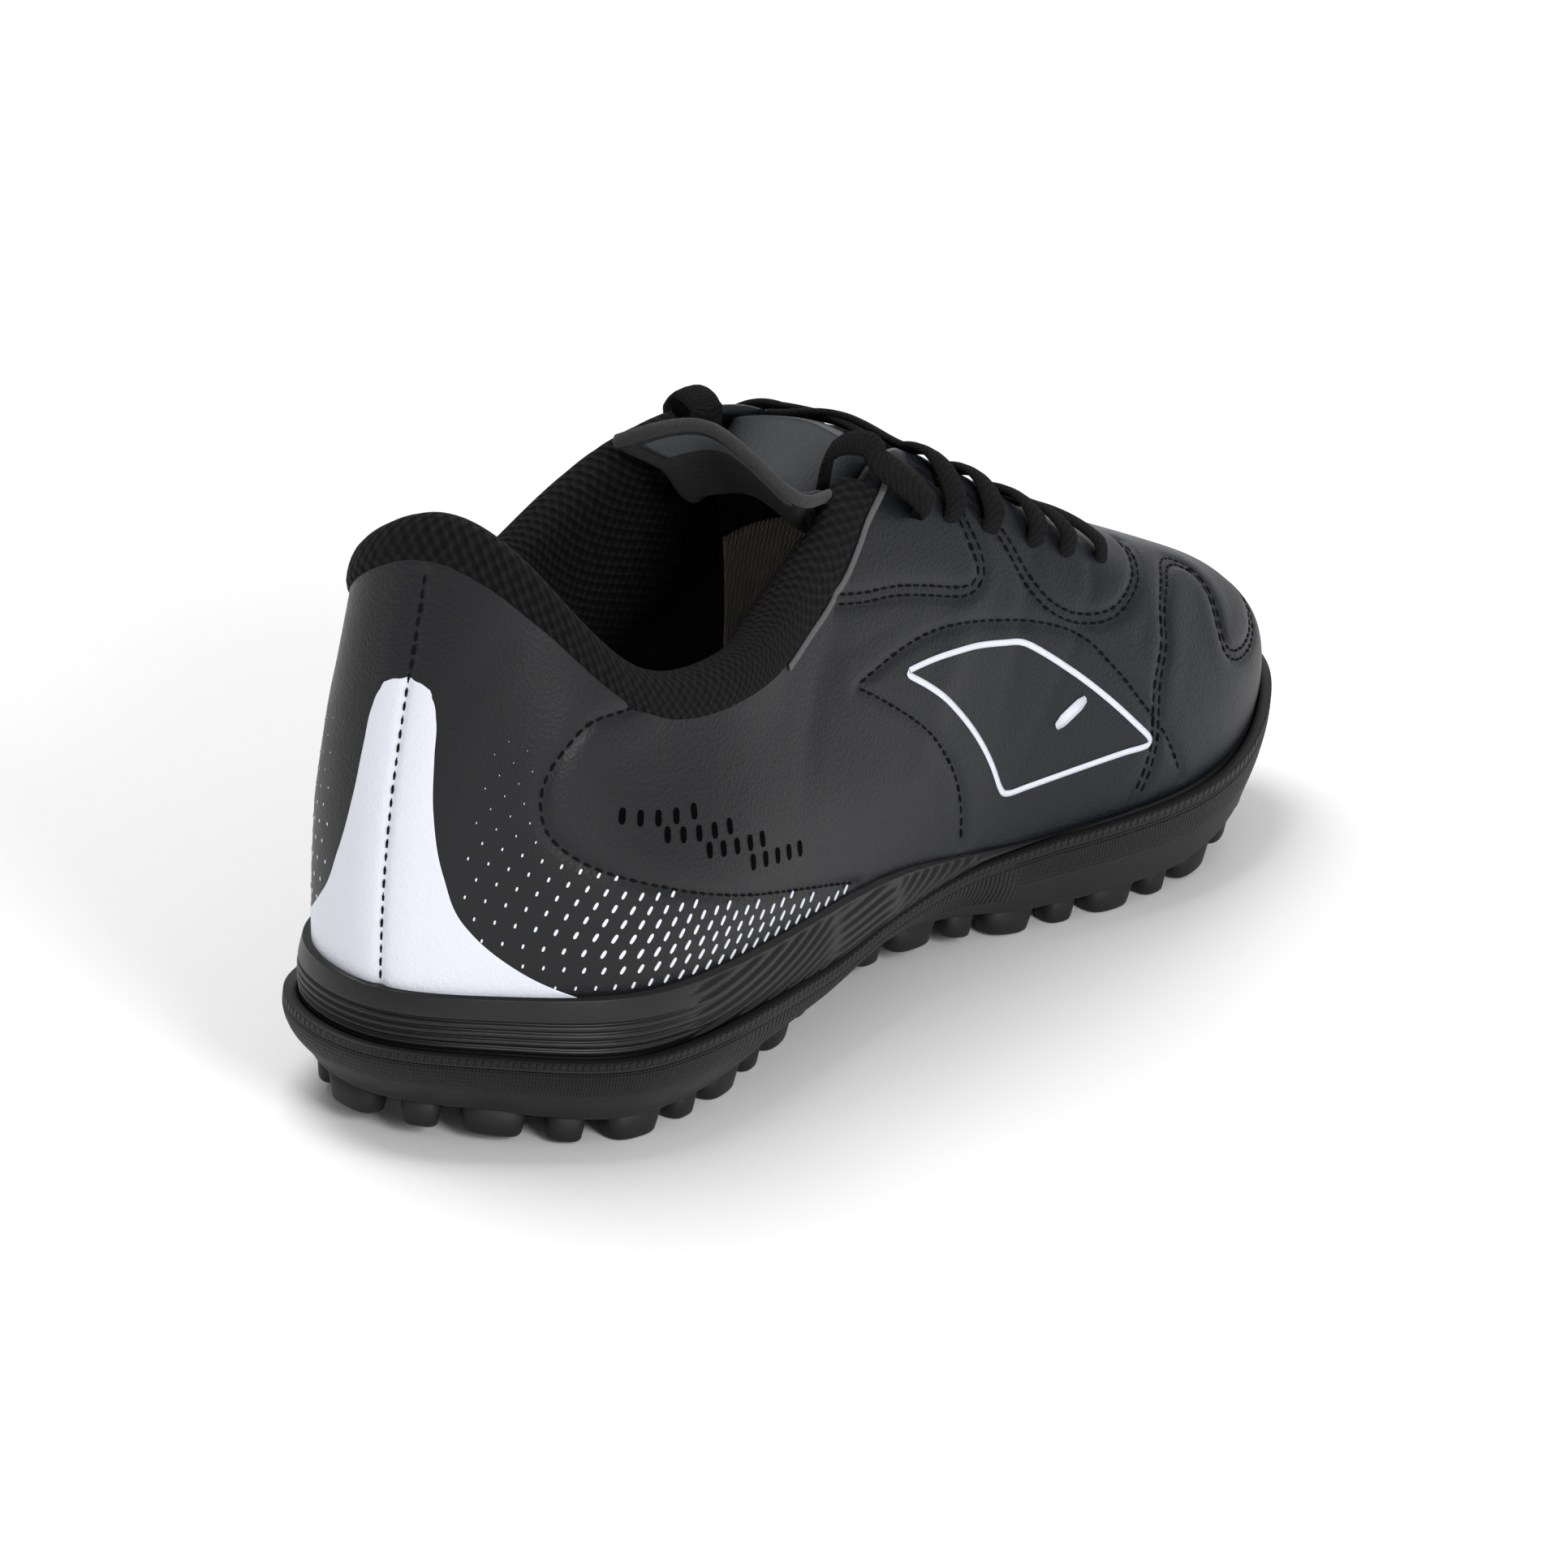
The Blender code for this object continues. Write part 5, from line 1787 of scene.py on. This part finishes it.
class SHOE_OT_lining(bpy.types.Operator):
    """Padded knit collar, tongue and insole"""

    bl_idname = "shoe.lining"
    bl_label = "Lining and tongue"

    def execute(self, context):
        knit = knit_finish("collar_knit", *COLOURS["collar_knit"])
        lining = stand("padded_collar", lining_data(), [knit], ["collar_lining"])
        felt = felt_finish("tongue_felt", *COLOURS["tongue_felt"])
        stand("tongue_piece", tongue_data(), [felt], ["tongue"])
        fuzz = felt_finish("cut_felt", *COLOURS["cut_felt"])
        stand("tongue_rim", tongue_rim_data(), [fuzz])
        smooth = leather_finish("tongue_front", *COLOURS["tongue_front"], roughness=0.5, grain=0.5)
        stand("tongue_front", tongue_front_data(), [smooth])
        paper = felt_finish("blank_label", *COLOURS["blank_label"])
        stand("label", label_data(), [paper])
        cloth = cloth_finish("insole_cloth", *COLOURS["insole_cloth"])
        for side, name in SIDES:
            stand(f"vamp_lining_{name}", vamp_lining_data(side), [cloth])
        frame["nodes"]["insole"].data.materials.clear()
        frame["nodes"]["insole"].data.materials.append(cloth)
        return {"FINISHED"}


class SHOE_OT_sole(bpy.types.Operator):
    """Ribbed midsole and lugged rubber cup"""

    bl_idname = "shoe.sole"
    bl_label = "Sole"

    def execute(self, context):
        rubber = cup_finish("outsole_rubber", *COLOURS["outsole_rubber"]).material
        foam = rubber_finish("midsole_foam", *COLOURS["midsole_foam"], roughness=0.36).material
        stand("cup_sole", add_lugs(outsole_data()), [rubber], ["outsole"])
        stand("ribbed_midsole", midsole_data(), [foam], ["midsole"])
        return {"FINISHED"}


class SHOE_PT_panel(bpy.types.Panel):
    """Lists the steps that dress the shoe"""

    bl_label = "Turf shoe"
    bl_idname = "SHOE_PT_panel"
    bl_space_type = "VIEW_3D"
    bl_region_type = "UI"
    bl_category = "Shoe"

    def draw(self, context):
        for name in ("light_power", "leather_dark", "toe_leather_painted_sheen", "ink"):
            self.layout.prop(settings(), name)
        for step in STEPS:
            self.layout.operator(step.bl_idname)


STEPS = (SHOE_OT_stage, SHOE_OT_lace, SHOE_OT_upper, SHOE_OT_prints, SHOE_OT_lining, SHOE_OT_sole)
CLASSES = (ShoeSettings, *STEPS, SHOE_PT_panel)


def register():
    for item in CLASSES:
        bpy.utils.register_class(item)
    bpy.types.Scene.shoe_settings = bpy.props.PointerProperty(type=ShoeSettings)


def unregister():
    del bpy.types.Scene.shoe_settings
    for item in reversed(CLASSES):
        bpy.utils.unregister_class(item)


def main():
    register()
    bpy.ops.shoe.stage()
    bpy.ops.shoe.lace()
    bpy.ops.shoe.upper()
    bpy.ops.shoe.prints()
    bpy.ops.shoe.lining()
    bpy.ops.shoe.sole()


if __name__ == "__main__":
    main()
